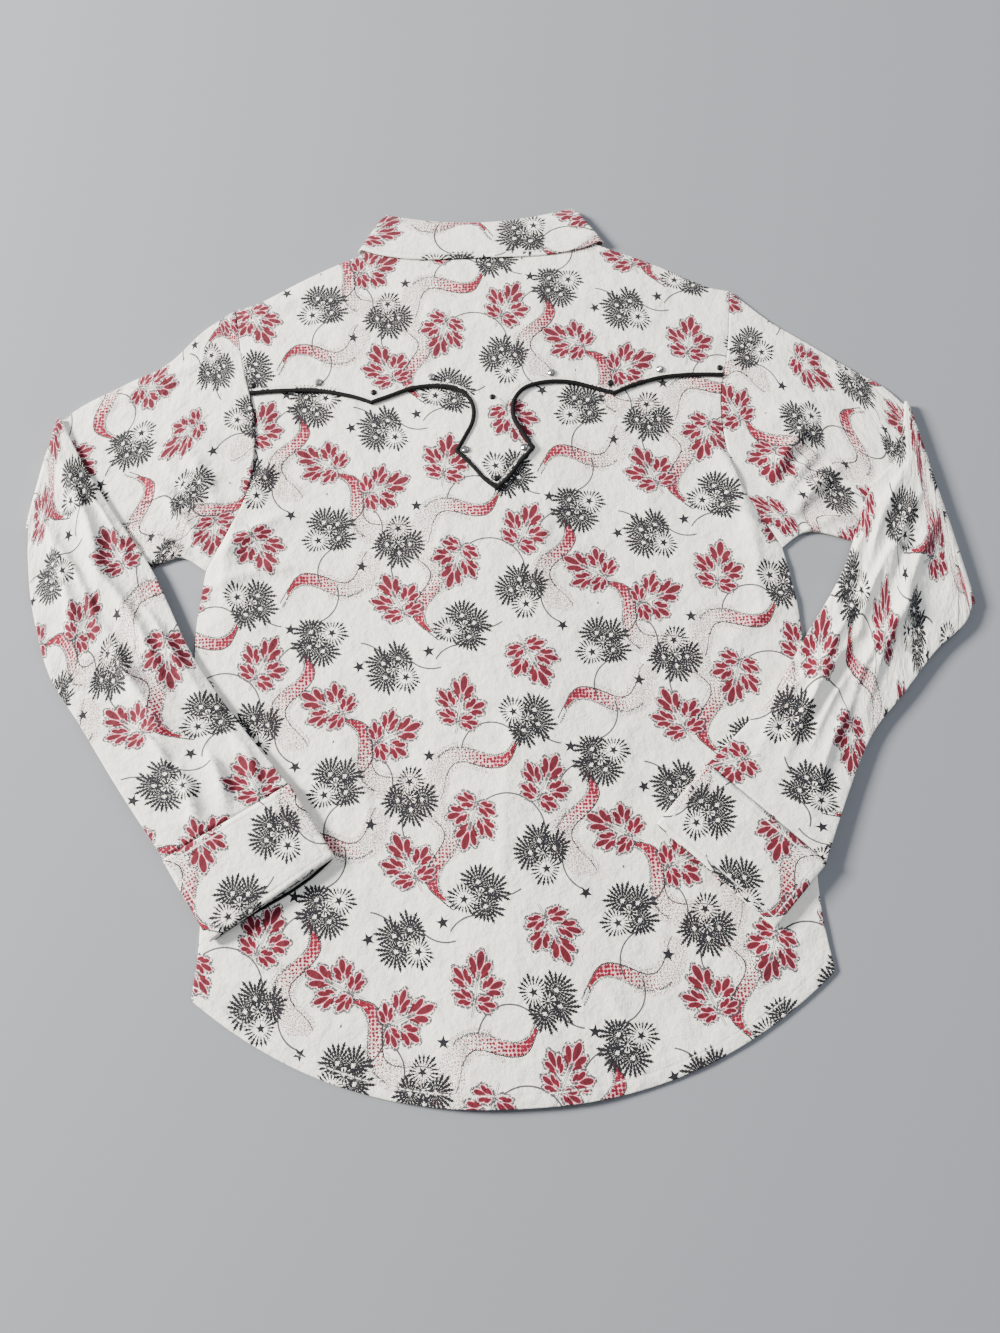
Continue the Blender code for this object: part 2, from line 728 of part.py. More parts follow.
def main():
    clear_scene()
    parts = new_collection("western_snap_shirt")
    cutters = new_collection("paper_patterns")
    cloth = new_material("printed cotton lawn", (0.86, 0.84, 0.82), 0.8)
    trim = new_material("black piping", (0.015, 0.015, 0.017), 0.6)
    enamel = new_material("black enamelled stud", (0.01, 0.01, 0.012), 0.2)
    crystal = new_material("clear stud", (0.8, 0.82, 0.85), 0.1, 0.6)
    brass = new_material("snap cap", (0.82, 0.8, 0.76), 0.3, 0.5)
    black = turned_mesh("black_stud", *STUD_BLACK)
    clear = turned_mesh("clear_stud", *STUD_CLEAR)
    cap = turned_mesh("snap_cap", *SNAP_CAP)
    for mesh, material in ((black, enamel), (clear, crystal), (cap, brass)):
        mesh.materials.append(material)
    build_body(cloth, trim, cap, parts, cutters)
    build_studs(black, clear, parts)
    build_collar(cloth, parts)
    build_sleeve(-1, UPPER_ARM_LEFT, ELBOW_LEFT, FOREARM_LEFT, CUFF_LEFT, cloth, trim, cap, parts)
    build_sleeve(1, UPPER_ARM_RIGHT, ELBOW_RIGHT, FOREARM_RIGHT, CUFF_RIGHT, cloth, trim, cap, parts)


main()
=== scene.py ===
# Western snap shirt in printed cotton lawn, laid flat and face down, its sleeves folded at the elbow
# beside the body. X runs to the wearer's right, +Y to the collar, +Z up, and all tables are in millimetres.

import math

import bmesh
import bpy
import numpy as np
from mathutils import Matrix
from mathutils import Vector
from mathutils import noise
from mathutils.geometry import delaunay_2d_cdt


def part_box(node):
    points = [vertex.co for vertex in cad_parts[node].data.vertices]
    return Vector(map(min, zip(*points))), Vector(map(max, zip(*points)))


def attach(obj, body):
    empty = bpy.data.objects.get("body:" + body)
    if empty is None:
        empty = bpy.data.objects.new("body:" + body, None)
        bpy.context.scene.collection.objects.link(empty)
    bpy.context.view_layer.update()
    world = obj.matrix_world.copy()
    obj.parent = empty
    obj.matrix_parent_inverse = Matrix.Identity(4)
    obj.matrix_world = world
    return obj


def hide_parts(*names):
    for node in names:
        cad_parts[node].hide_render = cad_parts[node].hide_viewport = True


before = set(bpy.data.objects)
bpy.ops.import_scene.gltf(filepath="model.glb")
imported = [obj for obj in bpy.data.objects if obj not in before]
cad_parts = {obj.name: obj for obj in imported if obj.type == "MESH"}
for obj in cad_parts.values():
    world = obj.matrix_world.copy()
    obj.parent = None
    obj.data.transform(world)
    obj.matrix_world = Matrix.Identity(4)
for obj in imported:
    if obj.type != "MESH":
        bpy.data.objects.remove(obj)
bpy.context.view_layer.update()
MM = 0.001

# ---- The bolt of lawn --------------------------------------------------------------------------
# Plain-woven cotton lawn, bleached to a soft white and screen printed in black, grey, crimson and
# pink: ragged blossoms of four fans, leafy sprigs, scaly ribbons, stars and fine vines, in a
# half-drop repeat. Every sewn piece is cut from it, with its grain along the piece.

REPEAT = (220.0, 640.0 / 3.0)   # column pitch, and a third of the 640 mm printing screen
BLOSSOMS = (                    # x, y and turn in degrees, over one repeat
    (22.0, 14.0, 20.0),
    (17.0, 119.0, 250.0),
    (73.0, 86.0, 130.0),
    (84.0, 180.0, 320.0),
    (133.0, 59.0, 65.0),
    (141.0, 168.0, 190.0),
    (191.0, 91.0, 295.0),
)
SPRIGS = (
    (27.0, 67.0, -28.0),
    (25.0, 168.0, 205.0),
    (80.0, 30.0, 62.0),
    (138.0, 117.0, 24.0),
    (129.0, 4.0, -70.0),
    (189.0, 149.0, 160.0),
    (185.0, 26.0, -12.0),
)
RIBBONS = (
    (80.0, 134.0, 18.0),
    (196.0, 196.0, 205.0),
    (52.0, 44.0, 262.0),
    (164.0, 121.0, 96.0),
    (108.0, 205.0, 310.0),
)
STARS = (
    (50.0, 96.0, 10.0),
    (105.0, 62.0, 40.0),
    (110.0, 148.0, 5.0),
    (162.0, 72.0, 25.0),
    (52.0, 196.0, 50.0),
    (158.0, 200.0, 15.0),
)
LOBES = (                       # x, y of a blossom's four fans, and 0 where a star sits, else 1
    (-2.5, -11.0, 0.0),
    (-8.3, 3.6, 1.0),
    (1.1, 9.0, 1.0),
    (9.0, 0.2, 1.0),
)
HUB_REACH = 5.4                 # the fans stop this far from a blossom's middle
RIBBON_LONG = 66.0
LEAFLET_GROUPS = (              # x, y of the group's middle and turn in degrees, right half of a sprig
    (0.0, 13.5, 0.0),
    (11.5, 2.0, -52.0),
    (8.6, -10.5, -84.0),
)
LEAFLETS = (                    # foot x, y, tip x, y, widest half width, in a group of full size
    (0.0, -3.4, 0.0, 8.4, 2.3),
    (1.6, -5.0, 6.4, 2.9, 1.9),
    (1.6, -8.4, 5.8, -2.8, 1.6),
)
LAWN_WHITE = "#F6F5EA"
INK_BLACK = "#0B0C15"
INK_GREY = "#303236"
INK_CRIMSON = "#6C001C"
INK_WINE = "#560015"
INK_SCALE = "#74001E"
INK_PINK = "#DB6A84"
INK_RIM = "#E8A9B6"             # pink round each leaflet
SHOW_PINK, SHOW_GREY = "#DFC3C3", "#C9CCCB"   # what lies below, seen through the lawn
SLUB_SHADE = "#CFCEC8"
# painted shade for the furrow beside a row of stitching, and white for its thread
FURROW_PAINTED_SHADE, THREAD_WHITE = "#A9A6A0", "#F2F0EA"


def linear(sheet):
    """An sRGB hex colour as linear values with alpha."""
    parts = [int(sheet[i:i + 2], 16) / 255.0 for i in (1, 3, 5)]
    return (*[c / 12.92 if c <= 0.04045 else ((c + 0.055) / 1.055) ** 2.4 for c in parts], 1.0)


def add(tree, kind, *inputs, **settings):
    """One node with its settings, its inputs numbers, colours or sockets; gives its output."""
    made = tree.nodes.new("ShaderNode" + kind)
    for name, value in settings.items():
        setattr(made, name, value)
    takes = [socket for socket in made.inputs if socket.enabled]
    for socket, value in zip(takes, inputs):
        if isinstance(value, bpy.types.NodeSocket):
            tree.links.new(value, socket)
        elif value is not None:
            socket.default_value = value
    return next(socket for socket in made.outputs if socket.enabled)


def finish_surface(tree, colour, roughness, bump, constants):
    """A Principled surface; its constants sit on its own sockets."""
    shader = tree.nodes.new("ShaderNodeBsdfPrincipled")
    for name, value in (("Base Color", colour), ("Roughness", roughness), ("Normal", bump)):
        if isinstance(value, bpy.types.NodeSocket):
            tree.links.new(value, shader.inputs[name])
        elif value is not None:
            shader.inputs[name].default_value = value
    for name, value in constants.items():
        shader.inputs[name].default_value = value
    out = tree.nodes.new("ShaderNodeOutputMaterial")
    tree.links.new(shader.outputs[0], out.inputs[0])


def empty_material(name):
    material = bpy.data.materials.new(name)
    material.use_nodes = True
    material.node_tree.nodes.clear()
    return material, material.node_tree


def around_the_cell(places, reach):
    """The places in one repeat, and those of its neighbours that reach into it."""
    found = []
    for x, y, turn in places:
        for column in (-1, 0, 1):
            for row in (-2, -1, 0, 1, 2):
                near_x = x + column * REPEAT[0]
                near_y = y + (column / 2.0 + row) * REPEAT[1]
                out_x = max(-near_x, near_x - REPEAT[0], 0.0)
                out_y = max(-near_y, near_y - REPEAT[1], 0.0)
                if math.hypot(out_x, out_y) < reach:
                    found.append((near_x, near_y, turn))
    return found


def nearest(tree, point, places):
    """Offset from the nearest place; Z carries its turn, in thousandths of a radian."""
    offset = gap = None
    for x, y, turn in places:
        here = add(tree, "VectorMath", point, (x, y, math.radians(turn) / 1000.0), operation="SUBTRACT")
        far = add(tree, "VectorMath", here, operation="LENGTH")
        if offset is None:
            offset, gap = here, far
        else:
            closer = add(tree, "Math", far, gap, operation="LESS_THAN")
            offset = add(tree, "Mix", closer, offset, here, data_type="VECTOR")
            gap = add(tree, "Math", far, gap, operation="MINIMUM")
    return offset


def unturned(tree, offset):
    """The offset in its motif's own axes, and the turn that was undone."""
    turn = add(tree, "SeparateXYZ", offset).node.outputs["Z"]
    turn = add(tree, "Math", turn, 1000.0, operation="MULTIPLY")
    level = add(tree, "VectorRotate", offset, (0.0, 0.0, 0.0), turn, rotation_type="Z_AXIS")
    return level, turn


def star_mask(tree, offset, outer):
    """A five-pointed star round the offset's origin."""
    inner = 0.4 * outer
    across = add(tree, "SeparateXYZ", offset)
    angle = add(tree, "Math", across.node.outputs["Y"], across, operation="ARCTAN2")
    fold = add(tree, "Math", angle, math.pi / 5.0, operation="PINGPONG")
    flat = add(tree, "VectorMath", offset, (1.0, 1.0, 0.0), operation="MULTIPLY")
    far = add(tree, "VectorMath", flat, operation="LENGTH")
    side = add(tree, "Math", fold, operation="COSINE")
    rise = add(tree, "Math", fold, operation="SINE")
    lean = inner * math.sin(math.pi / 5.0)
    back = outer - inner * math.cos(math.pi / 5.0)
    edge = add(tree, "Math", rise, back / lean, side, operation="MULTIPLY_ADD")
    edge = add(tree, "Math", edge, far, operation="MULTIPLY")
    return add(tree, "Math", edge, outer, operation="LESS_THAN")


def ring_line(tree, offset, centre, radius, half_width):
    """A thin drawn circle."""
    far = add(tree, "VectorMath", offset, (*centre, 0.0), operation="DISTANCE")
    return add(tree, "Math", far, radius, half_width, operation="COMPARE")


def strokes_mask(tree, offset, count, clear, tip_from, tip_more, widest):
    """Strokes that fan out from a clear middle, each swelling to a barbed, uneven tip."""
    across = add(tree, "SeparateXYZ", offset)
    angle = add(tree, "Math", across.node.outputs["Y"], across, operation="ARCTAN2")
    far = add(tree, "VectorMath", offset, operation="LENGTH")
    place = add(tree, "Math", angle, count / (2.0 * math.pi), operation="MULTIPLY")
    number = add(tree, "Math", place, operation="ROUND")
    chance = add(tree, "TexWhiteNoise", number, noise_dimensions="1D")
    late = add(tree, "Math", chance, 7.0, operation="MULTIPLY")
    late = add(tree, "Math", late, operation="FRACT")
    start = add(tree, "Math", late, 0.28 * tip_more, clear, operation="MULTIPLY_ADD")
    aside = add(tree, "Math", place, 0.5, operation="PINGPONG")
    aside = add(tree, "Math", aside, far, operation="MULTIPLY")
    aside = add(tree, "Math", aside, 2.0 * math.pi / count, operation="MULTIPLY")
    tip = add(tree, "Math", chance, tip_more, tip_from, operation="MULTIPLY_ADD")
    from_start = add(tree, "Math", far, start, operation="SUBTRACT")
    swell = add(tree, "MapRange", from_start, 0.0, 6.5, 0.4, widest, interpolation_type="SMOOTHSTEP")
    left = add(tree, "Math", tip, far, operation="SUBTRACT")
    taper = add(tree, "MapRange", left, 0.0, 2.4, 0.0, 1.0)
    width = add(tree, "Math", swell, taper, operation="MULTIPLY")
    barb = add(tree, "Math", aside, -0.9, far, operation="MULTIPLY_ADD")
    barb = add(tree, "Math", barb, 0.45, operation="MULTIPLY")
    barb = add(tree, "Math", barb, late, operation="ADD")
    barb = add(tree, "Math", barb, operation="FRACT")
    barb = add(tree, "Math", barb, 0.85, 0.6, operation="MULTIPLY_ADD")
    width = add(tree, "Math", width, barb, operation="MULTIPLY")
    drawn = add(tree, "Math", aside, width, operation="LESS_THAN")
    middle = add(tree, "Math", from_start, 0.0, operation="LESS_THAN")
    return add(tree, "Math", drawn, middle, operation="SUBTRACT", use_clamp=True)


def blossom(tree, point):
    """Ragged fans of strokes with barbed tips, the first round a star on white."""
    local, _ = unturned(tree, nearest(tree, point, around_the_cell(BLOSSOMS, 30.0)))
    local = add(tree, "VectorMath", local, (0.93, 0.93, 0.0), operation="MULTIPLY")
    fan = nearest(tree, local, [(x, y, math.degrees(kind)) for x, y, kind in LOBES])
    kind = add(tree, "SeparateXYZ", fan).node.outputs["Z"]
    clear = add(tree, "Math", kind, 3400.0, 4.2, operation="MULTIPLY_ADD")
    tip = add(tree, "Math", kind, -1200.0, 9.4, operation="MULTIPLY_ADD")
    fan = add(tree, "VectorMath", fan, (1.0, 1.0, 0.0), operation="MULTIPLY")
    fans = strokes_mask(tree, fan, 20.0, clear, tip, 5.2, 1.15)
    from_hub = add(tree, "VectorMath", local, operation="LENGTH")
    inside_hub = add(tree, "Math", from_hub, HUB_REACH, operation="LESS_THAN")
    fans = add(tree, "Math", fans, inside_hub, operation="SUBTRACT", use_clamp=True)
    hub = strokes_mask(tree, local, 11.0, 0.3, 5.4, 4.6, 1.6)
    heart = add(tree, "VectorMath", local, (*LOBES[0][:2], 0.0), operation="SUBTRACT")
    white = add(tree, "VectorMath", heart, operation="LENGTH")
    white = add(tree, "Math", white, 5.4, operation="LESS_THAN")
    hub = add(tree, "Math", hub, white, operation="SUBTRACT", use_clamp=True)
    heart = star_mask(tree, heart, 4.0)
    mask = add(tree, "Math", fans, heart, operation="MAXIMUM")
    return add(tree, "Math", mask, hub, operation="MAXIMUM"), local


def sprig(tree, point):
    """Distance to the nearest drop-shaped leaflet, in five groups on a stem; and the stem."""
    local, _ = unturned(tree, nearest(tree, point, around_the_cell(SPRIGS, 30.0)))
    local = add(tree, "VectorMath", local, (0.93, 0.93, 0.93), operation="MULTIPLY")
    lean = add(tree, "VectorMath", local, (1.0, 0.0, 0.0), operation="DOT_PRODUCT")
    folded = add(tree, "VectorMath", local, (1.0, 1.0, 0.0), operation="MULTIPLY")
    folded = add(tree, "VectorMath", folded, operation="ABSOLUTE")
    folded = add(tree, "SeparateXYZ", folded)
    upright = add(tree, "SeparateXYZ", local).node.outputs["Y"]
    upright = add(tree, "Math", lean, 0.12, upright, operation="MULTIPLY_ADD")
    folded = add(tree, "CombineXYZ", folded, upright, 0.0)
    group, turn = unturned(tree, nearest(tree, folded, LEAFLET_GROUPS))
    size = add(tree, "Math", turn, -0.26, 1.13, operation="MULTIPLY_ADD")
    group = add(tree, "VectorMath", group, (1.0, 1.0, 0.0), operation="MULTIPLY")
    group = add(tree, "VectorMath", group, size, operation="DIVIDE")
    side = add(tree, "SeparateXYZ", group)
    along = side.node.outputs["Y"]
    side = add(tree, "Math", side, operation="ABSOLUTE")
    group = add(tree, "CombineXYZ", side, along, 0.0)
    gap = None
    for foot_x, foot_y, tip_x, tip_y, widest in LEAFLETS:
        run = Vector((tip_x - foot_x, tip_y - foot_y, 0.0))
        from_foot = add(tree, "VectorMath", group, (foot_x, foot_y, 0.0), operation="SUBTRACT")
        share = add(tree, "VectorMath", from_foot, run / run.length_squared, operation="DOT_PRODUCT")
        share = add(tree, "Math", share, 0.0, operation="ADD", use_clamp=True)
        from_line = add(tree, "VectorMath", share, -run, from_foot, operation="MULTIPLY_ADD")
        from_line = add(tree, "VectorMath", from_line, operation="LENGTH")
        late = add(tree, "Math", share, 1.35, operation="POWER")
        swell = add(tree, "Math", late, late, operation="MULTIPLY")
        swell = add(tree, "Math", late, swell, operation="SUBTRACT")
        swell = add(tree, "Math", swell, 0.55, operation="POWER")
        near = add(tree, "Math", swell, -2.05 * widest, from_line, operation="MULTIPLY_ADD")
        gap = near if gap is None else add(tree, "Math", near, gap, operation="MINIMUM")
    gap = add(tree, "Math", gap, size, operation="MULTIPLY")
    twin = add(tree, "Math", lean, operation="ABSOLUTE")
    twin = add(tree, "Math", twin, 0.6, 0.24, operation="COMPARE")
    below = add(tree, "Math", upright, -4.0, 18.0, operation="COMPARE")
    twin = add(tree, "Math", twin, below, operation="MULTIPLY")
    rib = add(tree, "Math", side, 0.2, operation="LESS_THAN")
    inner = add(tree, "Math", along, -7.0, 6.0, operation="COMPARE")
    rib = add(tree, "Math", rib, inner, operation="MULTIPLY")
    return gap, add(tree, "Math", twin, rib, operation="MAXIMUM")


def ribbon(tree, point):
    """Share along a wavy ribbon from its dense end, and the distance from its middle line."""
    local, _ = unturned(tree, nearest(tree, point, around_the_cell(RIBBONS, 46.0)))
    across = add(tree, "SeparateXYZ", local)
    share = add(tree, "Math", across, 1.0 / RIBBON_LONG, 0.5, operation="MULTIPLY_ADD")
    turn = add(tree, "Math", share, 1.85 * math.pi, 0.25, operation="MULTIPLY_ADD")
    wave = add(tree, "Math", turn, operation="SINE")
    aside = add(tree, "Math", wave, -10.5, across.node.outputs["Y"], operation="MULTIPLY_ADD")
    slope = add(tree, "Math", turn, operation="COSINE")
    slope = add(tree, "Math", slope, slope, operation="MULTIPLY")
    steep = add(tree, "Math", slope, -0.3, 1.0, operation="MULTIPLY_ADD")
    return share, add(tree, "Math", aside, steep, operation="MULTIPLY")


def ink(tree, colour, mask, paint):
    """The colour with one ink printed over it where the mask is 1."""
    return add(tree, "Mix", mask, colour, linear(paint) if isinstance(paint, str) else paint,
               data_type="RGBA")


def print_design(tree, point, ground):
    """The ground with the whole design on it; point is in millimetres along the grain."""
    x = add(tree, "SeparateXYZ", point)
    column = add(tree, "Math", x, 1.0 / REPEAT[0], operation="MULTIPLY")
    column = add(tree, "Math", column, operation="FLOOR")
    y = add(tree, "Math", column, -REPEAT[1] / 2.0, x.node.outputs["Y"], operation="MULTIPLY_ADD")
    x = add(tree, "Math", x, REPEAT[0], 0.0, operation="WRAP")
    y = add(tree, "Math", y, REPEAT[1], 0.0, operation="WRAP")
    cell = add(tree, "CombineXYZ", x, y, 0.0)
    speckle = add(tree, "TexVoronoi", point, 0.72, voronoi_dimensions="2D", feature="F1")
    wander = add(tree, "TexNoise", point, 0.35, 2.0, noise_dimensions="2D")

    share, aside = ribbon(tree, cell)
    aside = add(tree, "Math", wander, 1.1, aside, operation="MULTIPLY_ADD")
    aside = add(tree, "Math", aside, 0.55, operation="SUBTRACT")
    on_length = add(tree, "Math", share, 0.5, 0.5, operation="COMPARE")
    point_in = add(tree, "MapRange", share, 0.0, 0.3, 1.0, 4.5, interpolation_type="SMOOTHSTEP")
    flare = add(tree, "MapRange", share, 0.5, 1.0, 0.0, 1.6)
    half = add(tree, "Math", point_in, flare, operation="ADD")
    reach = add(tree, "Math", aside, operation="ABSOLUTE")
    body = add(tree, "Math", reach, half, operation="LESS_THAN")
    body = add(tree, "Math", body, on_length, operation="MULTIPLY")
    fade = add(tree, "MapRange", share, 0.2, 0.75, 1.0, 0.0, interpolation_type="SMOOTHSTEP")
    blush = add(tree, "Math", body, fade, operation="MULTIPLY")
    blush = add(tree, "Math", blush, 0.85, operation="MULTIPLY")
    along = add(tree, "Math", share, RIBBON_LONG + 14.0, operation="MULTIPLY")
    # Scales of 2.2 mm are drawn at 2.8 mm, so that they can show.
    scales = add(tree, "TexVoronoi", point, 0.36, 0.0, 0.5, 2.0, 0.38, voronoi_dimensions="2D",
                 feature="F1")
    scale_size = add(tree, "MapRange", share, 0.05, 0.9, 0.62, 0.12)
    scales = add(tree, "Math", scales, scale_size, operation="LESS_THAN")
    scales = add(tree, "Math", scales, body, operation="MULTIPLY")
    stray = add(tree, "Math", speckle, 0.27, operation="LESS_THAN")
    stray_reach = add(tree, "Math", half, 5.0, operation="ADD")
    stray_body = add(tree, "Math", reach, stray_reach, operation="LESS_THAN")
    stray_end = add(tree, "Math", share, 0.85, 0.38, operation="COMPARE")
    stray = add(tree, "Math", stray, stray_body, operation="MULTIPLY")
    stray = add(tree, "Math", stray, stray_end, operation="MULTIPLY")
    beads = add(tree, "Math", along, 0.8, operation="PINGPONG")
    beads = add(tree, "Math", beads, 0.55, 0.3, operation="MULTIPLY_ADD")
    outer = add(tree, "Math", half, 0.5, operation="ADD")
    border = add(tree, "Math", aside, outer, beads, operation="COMPARE")
    runs_on = add(tree, "Math", share, 0.4, 0.52, operation="COMPARE")
    border = add(tree, "Math", border, runs_on, operation="MULTIPLY")
    spring = add(tree, "Math", share, 9.0, half, operation="MULTIPLY_ADD")
    second = add(tree, "Math", spring, 8.4, operation="SUBTRACT")
    second = add(tree, "Math", aside, second, 0.4, operation="COMPARE")
    late = add(tree, "Math", share, 1.15, 0.24, operation="COMPARE")
    second = add(tree, "Math", second, late, operation="MULTIPLY")
    thorn = add(tree, "Math", along, 0.9, operation="PINGPONG")
    thorn = add(tree, "Math", thorn, thorn, operation="MULTIPLY")
    inner = add(tree, "Math", half, -1.0, operation="MULTIPLY")
    inner = add(tree, "Math", inner, 0.9, operation="SUBTRACT")
    thorn = add(tree, "Math", thorn, 1.7, 0.4, operation="MULTIPLY_ADD")
    twig = add(tree, "Math", aside, inner, thorn, operation="COMPARE")
    twig = add(tree, "Math", twig, runs_on, operation="MULTIPLY")
    gaps = add(tree, "Math", speckle, 0.62, operation="LESS_THAN")
    twig = add(tree, "Math", twig, gaps, operation="MULTIPLY")

    burst, burst_place = blossom(tree, cell)
    leaf_gap, stem = sprig(tree, cell)
    vine = ring_line(tree, burst_place, (-17.0, 24.0), 27.0, 0.62)
    loop = ring_line(tree, burst_place, (31.0, -18.0), 22.0, 0.62)
    upper = add(tree, "VectorMath", burst_place, (0.6, 0.8, 0.0), operation="DOT_PRODUCT")
    lower = add(tree, "Math", upper, 6.0, operation="LESS_THAN")
    upper = add(tree, "Math", upper, 2.0, operation="GREATER_THAN")
    vine = add(tree, "Math", vine, upper, operation="MULTIPLY")
    loop = add(tree, "Math", loop, lower, operation="MULTIPLY")
    vine = add(tree, "Math", vine, loop, operation="MAXIMUM")
    vine = add(tree, "Math", vine, stem, operation="MAXIMUM")
    vine = add(tree, "Math", vine, second, operation="MAXIMUM")
    fuzz = add(tree, "Math", leaf_gap, 1.7, 0.95, operation="COMPARE")
    fuzz_dots = add(tree, "Math", speckle, 0.56, operation="LESS_THAN")
    fuzz = add(tree, "Math", fuzz, fuzz_dots, operation="MULTIPLY")
    grey = add(tree, "Math", fuzz, vine, operation="MAXIMUM")
    grey = add(tree, "Math", grey, twig, operation="MAXIMUM")
    grey = add(tree, "Math", grey, 0.95, operation="MULTIPLY")
    rim = add(tree, "Math", leaf_gap, 0.75, operation="LESS_THAN")
    leaf = add(tree, "Math", leaf_gap, 0.2, operation="LESS_THAN")
    leaf_heart = add(tree, "Math", leaf_gap, -0.6, operation="LESS_THAN")
    free_star = nearest(tree, cell, around_the_cell(STARS, 6.0))
    free_star, _ = unturned(tree, free_star)
    free_star = star_mask(tree, free_star, 5.6)

    colour = ink(tree, ground, blush, INK_PINK)
    colour = ink(tree, colour, scales, INK_SCALE)
    colour = ink(tree, colour, stray, INK_CRIMSON)
    colour = ink(tree, colour, grey, INK_GREY)
    colour = ink(tree, colour, border, INK_BLACK)
    colour = ink(tree, colour, rim, INK_RIM)
    colour = ink(tree, colour, leaf, INK_CRIMSON)
    colour = ink(tree, colour, leaf_heart, INK_WINE)
    colour = ink(tree, colour, burst, INK_BLACK)
    return ink(tree, colour, free_star, INK_BLACK)


def printed_lawn():
    """Woven cotton, screen printed: a dry matt face, faint slubs, fine crumples, pale thread."""
    material, tree = empty_material("cotton lawn, screen printed")
    grain = add(tree, "UVMap", uv_map="grain")
    point = add(tree, "VectorMath", grain, (1.0 / MM, 1.0 / MM, 0.0), operation="MULTIPLY")

    # Threads lie 0.3 mm apart; every third one is drawn, so that the weave can show.
    yarns = add(tree, "VectorMath", point, (0.06, 1.1, 1.0), operation="MULTIPLY")
    weft = add(tree, "TexNoise", yarns, 1.0, 2.0, noise_dimensions="2D")
    yarns = add(tree, "VectorMath", point, (1.1, 0.05, 1.0), operation="MULTIPLY")
    warp = add(tree, "TexNoise", yarns, 1.0, 2.0, noise_dimensions="2D")
    weave = add(tree, "Math", weft, warp, operation="ADD")
    crumple = add(tree, "TexNoise", point, 0.055, 4.0, 0.62, noise_dimensions="2D")

    # What lies under the thin cloth shows through it as soft pink and grey clouds.
    below = add(tree, "TexNoise", point, 0.03, 1.0, noise_dimensions="2D")
    ghost = add(tree, "MapRange", below, 0.52, 0.72, 0.0, 0.16, interpolation_type="SMOOTHSTEP")
    ground = ink(tree, linear(LAWN_WHITE), ghost, SHOW_PINK)
    ghost = add(tree, "MapRange", below, 0.26, 0.44, 0.2, 0.0, interpolation_type="SMOOTHSTEP")
    ground = ink(tree, ground, ghost, SHOW_GREY)
    slub = add(tree, "MapRange", weave, 0.7, 1.3, 0.0, 0.16)
    ground = ink(tree, ground, slub, SLUB_SHADE)
    colour = print_design(tree, point, ground)

    # Rows of 2.8 mm lockstitch in white thread, along every finished edge, with painted shade in the furrow
    # beside each row.
    row = add(tree, "UVMap", uv_map="stitch")
    across = add(tree, "SeparateXYZ", row)
    along = add(tree, "Math", across.node.outputs["Y"], 0.0028, operation="PINGPONG")
    across = add(tree, "Math", across, operation="ABSOLUTE")
    thread = add(tree, "Math", across, 0.00042, operation="LESS_THAN")
    drawn = add(tree, "Math", along, 0.0021, operation="LESS_THAN")
    thread = add(tree, "Math", thread, drawn, operation="MULTIPLY")
    furrow = add(tree, "MapRange", across, 0.0, 0.0016, 1.0, 0.0, interpolation_type="SMOOTHSTEP")
    # Painted shade: the cloth is darkened towards the stitch line, where its furrow lies in shade.
    shade = add(tree, "Math", furrow, 0.22, operation="MULTIPLY")
    colour = ink(tree, colour, shade, FURROW_PAINTED_SHADE)
    colour = ink(tree, colour, thread, THREAD_WHITE)

    height = add(tree, "Math", crumple, 3.4, operation="MULTIPLY")
    height = add(tree, "Math", weave, 0.035, height, operation="MULTIPLY_ADD")
    height = add(tree, "Math", furrow, -0.28, height, operation="MULTIPLY_ADD")
    height = add(tree, "Math", thread, 0.2, height, operation="MULTIPLY_ADD")
    bump = add(tree, "Bump", 0.7, MM, None, height)
    roughness = add(tree, "MapRange", weave, 0.6, 1.4, 0.78, 0.92)
    finish_surface(tree, colour, roughness, bump,
                   {"Sheen Weight": 0.12, "Sheen Roughness": 0.6, "Specular IOR Level": 0.3})
    return material


lawn = printed_lawn()

# ---- Fronts and placket --------------------------------------------------------------------------
# The two fronts, cut from lawn and lapped at the centre under a stitched placket. They lie lowest,
# face down, so only their edges show beyond the back. The collar's wings and the snaps lift them.

HEM_Y, HEM_RISE, HEM_CURVE, HEM_HALF = -381.0, 85.0, 2.35, 241.0
SIDE_SEAM = (                   # half width, y, up to the armpit
    (241.0, -296.0),
    (236.0, -230.0),
    (245.0, -90.0),
    (247.0, -15.0),
    (240.0, 43.0),
)
ARMHOLE = (                     # x, y, up to the shoulder
    (240.0, 43.0),
    (207.0, 112.0),
    (202.0, 176.0),
    (213.0, 232.0),
    (221.0, 289.0),
)
SHOULDER = (                    # x, y, from the armhole to the neck
    (221.0, 289.0),
    (199.0, 295.0),
    (158.0, 317.0),
    (108.0, 339.0),
    (88.0, 350.0),
)
NECK_HALF, FRONT_NECK_Y, BACK_NECK_Y = 88.0, 284.0, 343.0
PLACKET_HALF = 15.5
WALL, PLY = 1.2, 1.5            # a panel's space in the stack, and its pitch
LAWN_THICK = 0.7                # cloth with its turned edges
SNAP_RISE, WING_RISE = 1.7, 1.6
LEAN = 0.024                    # the grain's lean on the body
HEM_STITCH = 9.5                # edge to stitching, on the hem and the placket
COARSE, FINE = 6.0, 3.6         # mesh steps of hidden and shown panels


def ease(low, high, value):
    share = np.clip((value - low) / (high - low), 0.0, 1.0)
    return share * share * (3.0 - 2.0 * share)


def curve_through(points, steps):
    """Catmull-Rom curve through points of any size, with a number of steps to each stretch."""
    ends = [np.array(p, float) for p in (points[0], *points, points[-1])]
    run = []
    for before, start, end, after in zip(ends, ends[1:], ends[2:], ends[3:]):
        for t in np.arange(steps) / steps:
            run.append(0.5 * (2.0 * start + (end - before) * t
                              + (2.0 * before - 5.0 * start + 4.0 * end - after) * t ** 2
                              + (3.0 * start - before - 3.0 * end + after) * t ** 3))
    return run + [ends[-1]]


def mirrored(points):
    return [np.array((-x, y)) for x, y in reversed(points)]


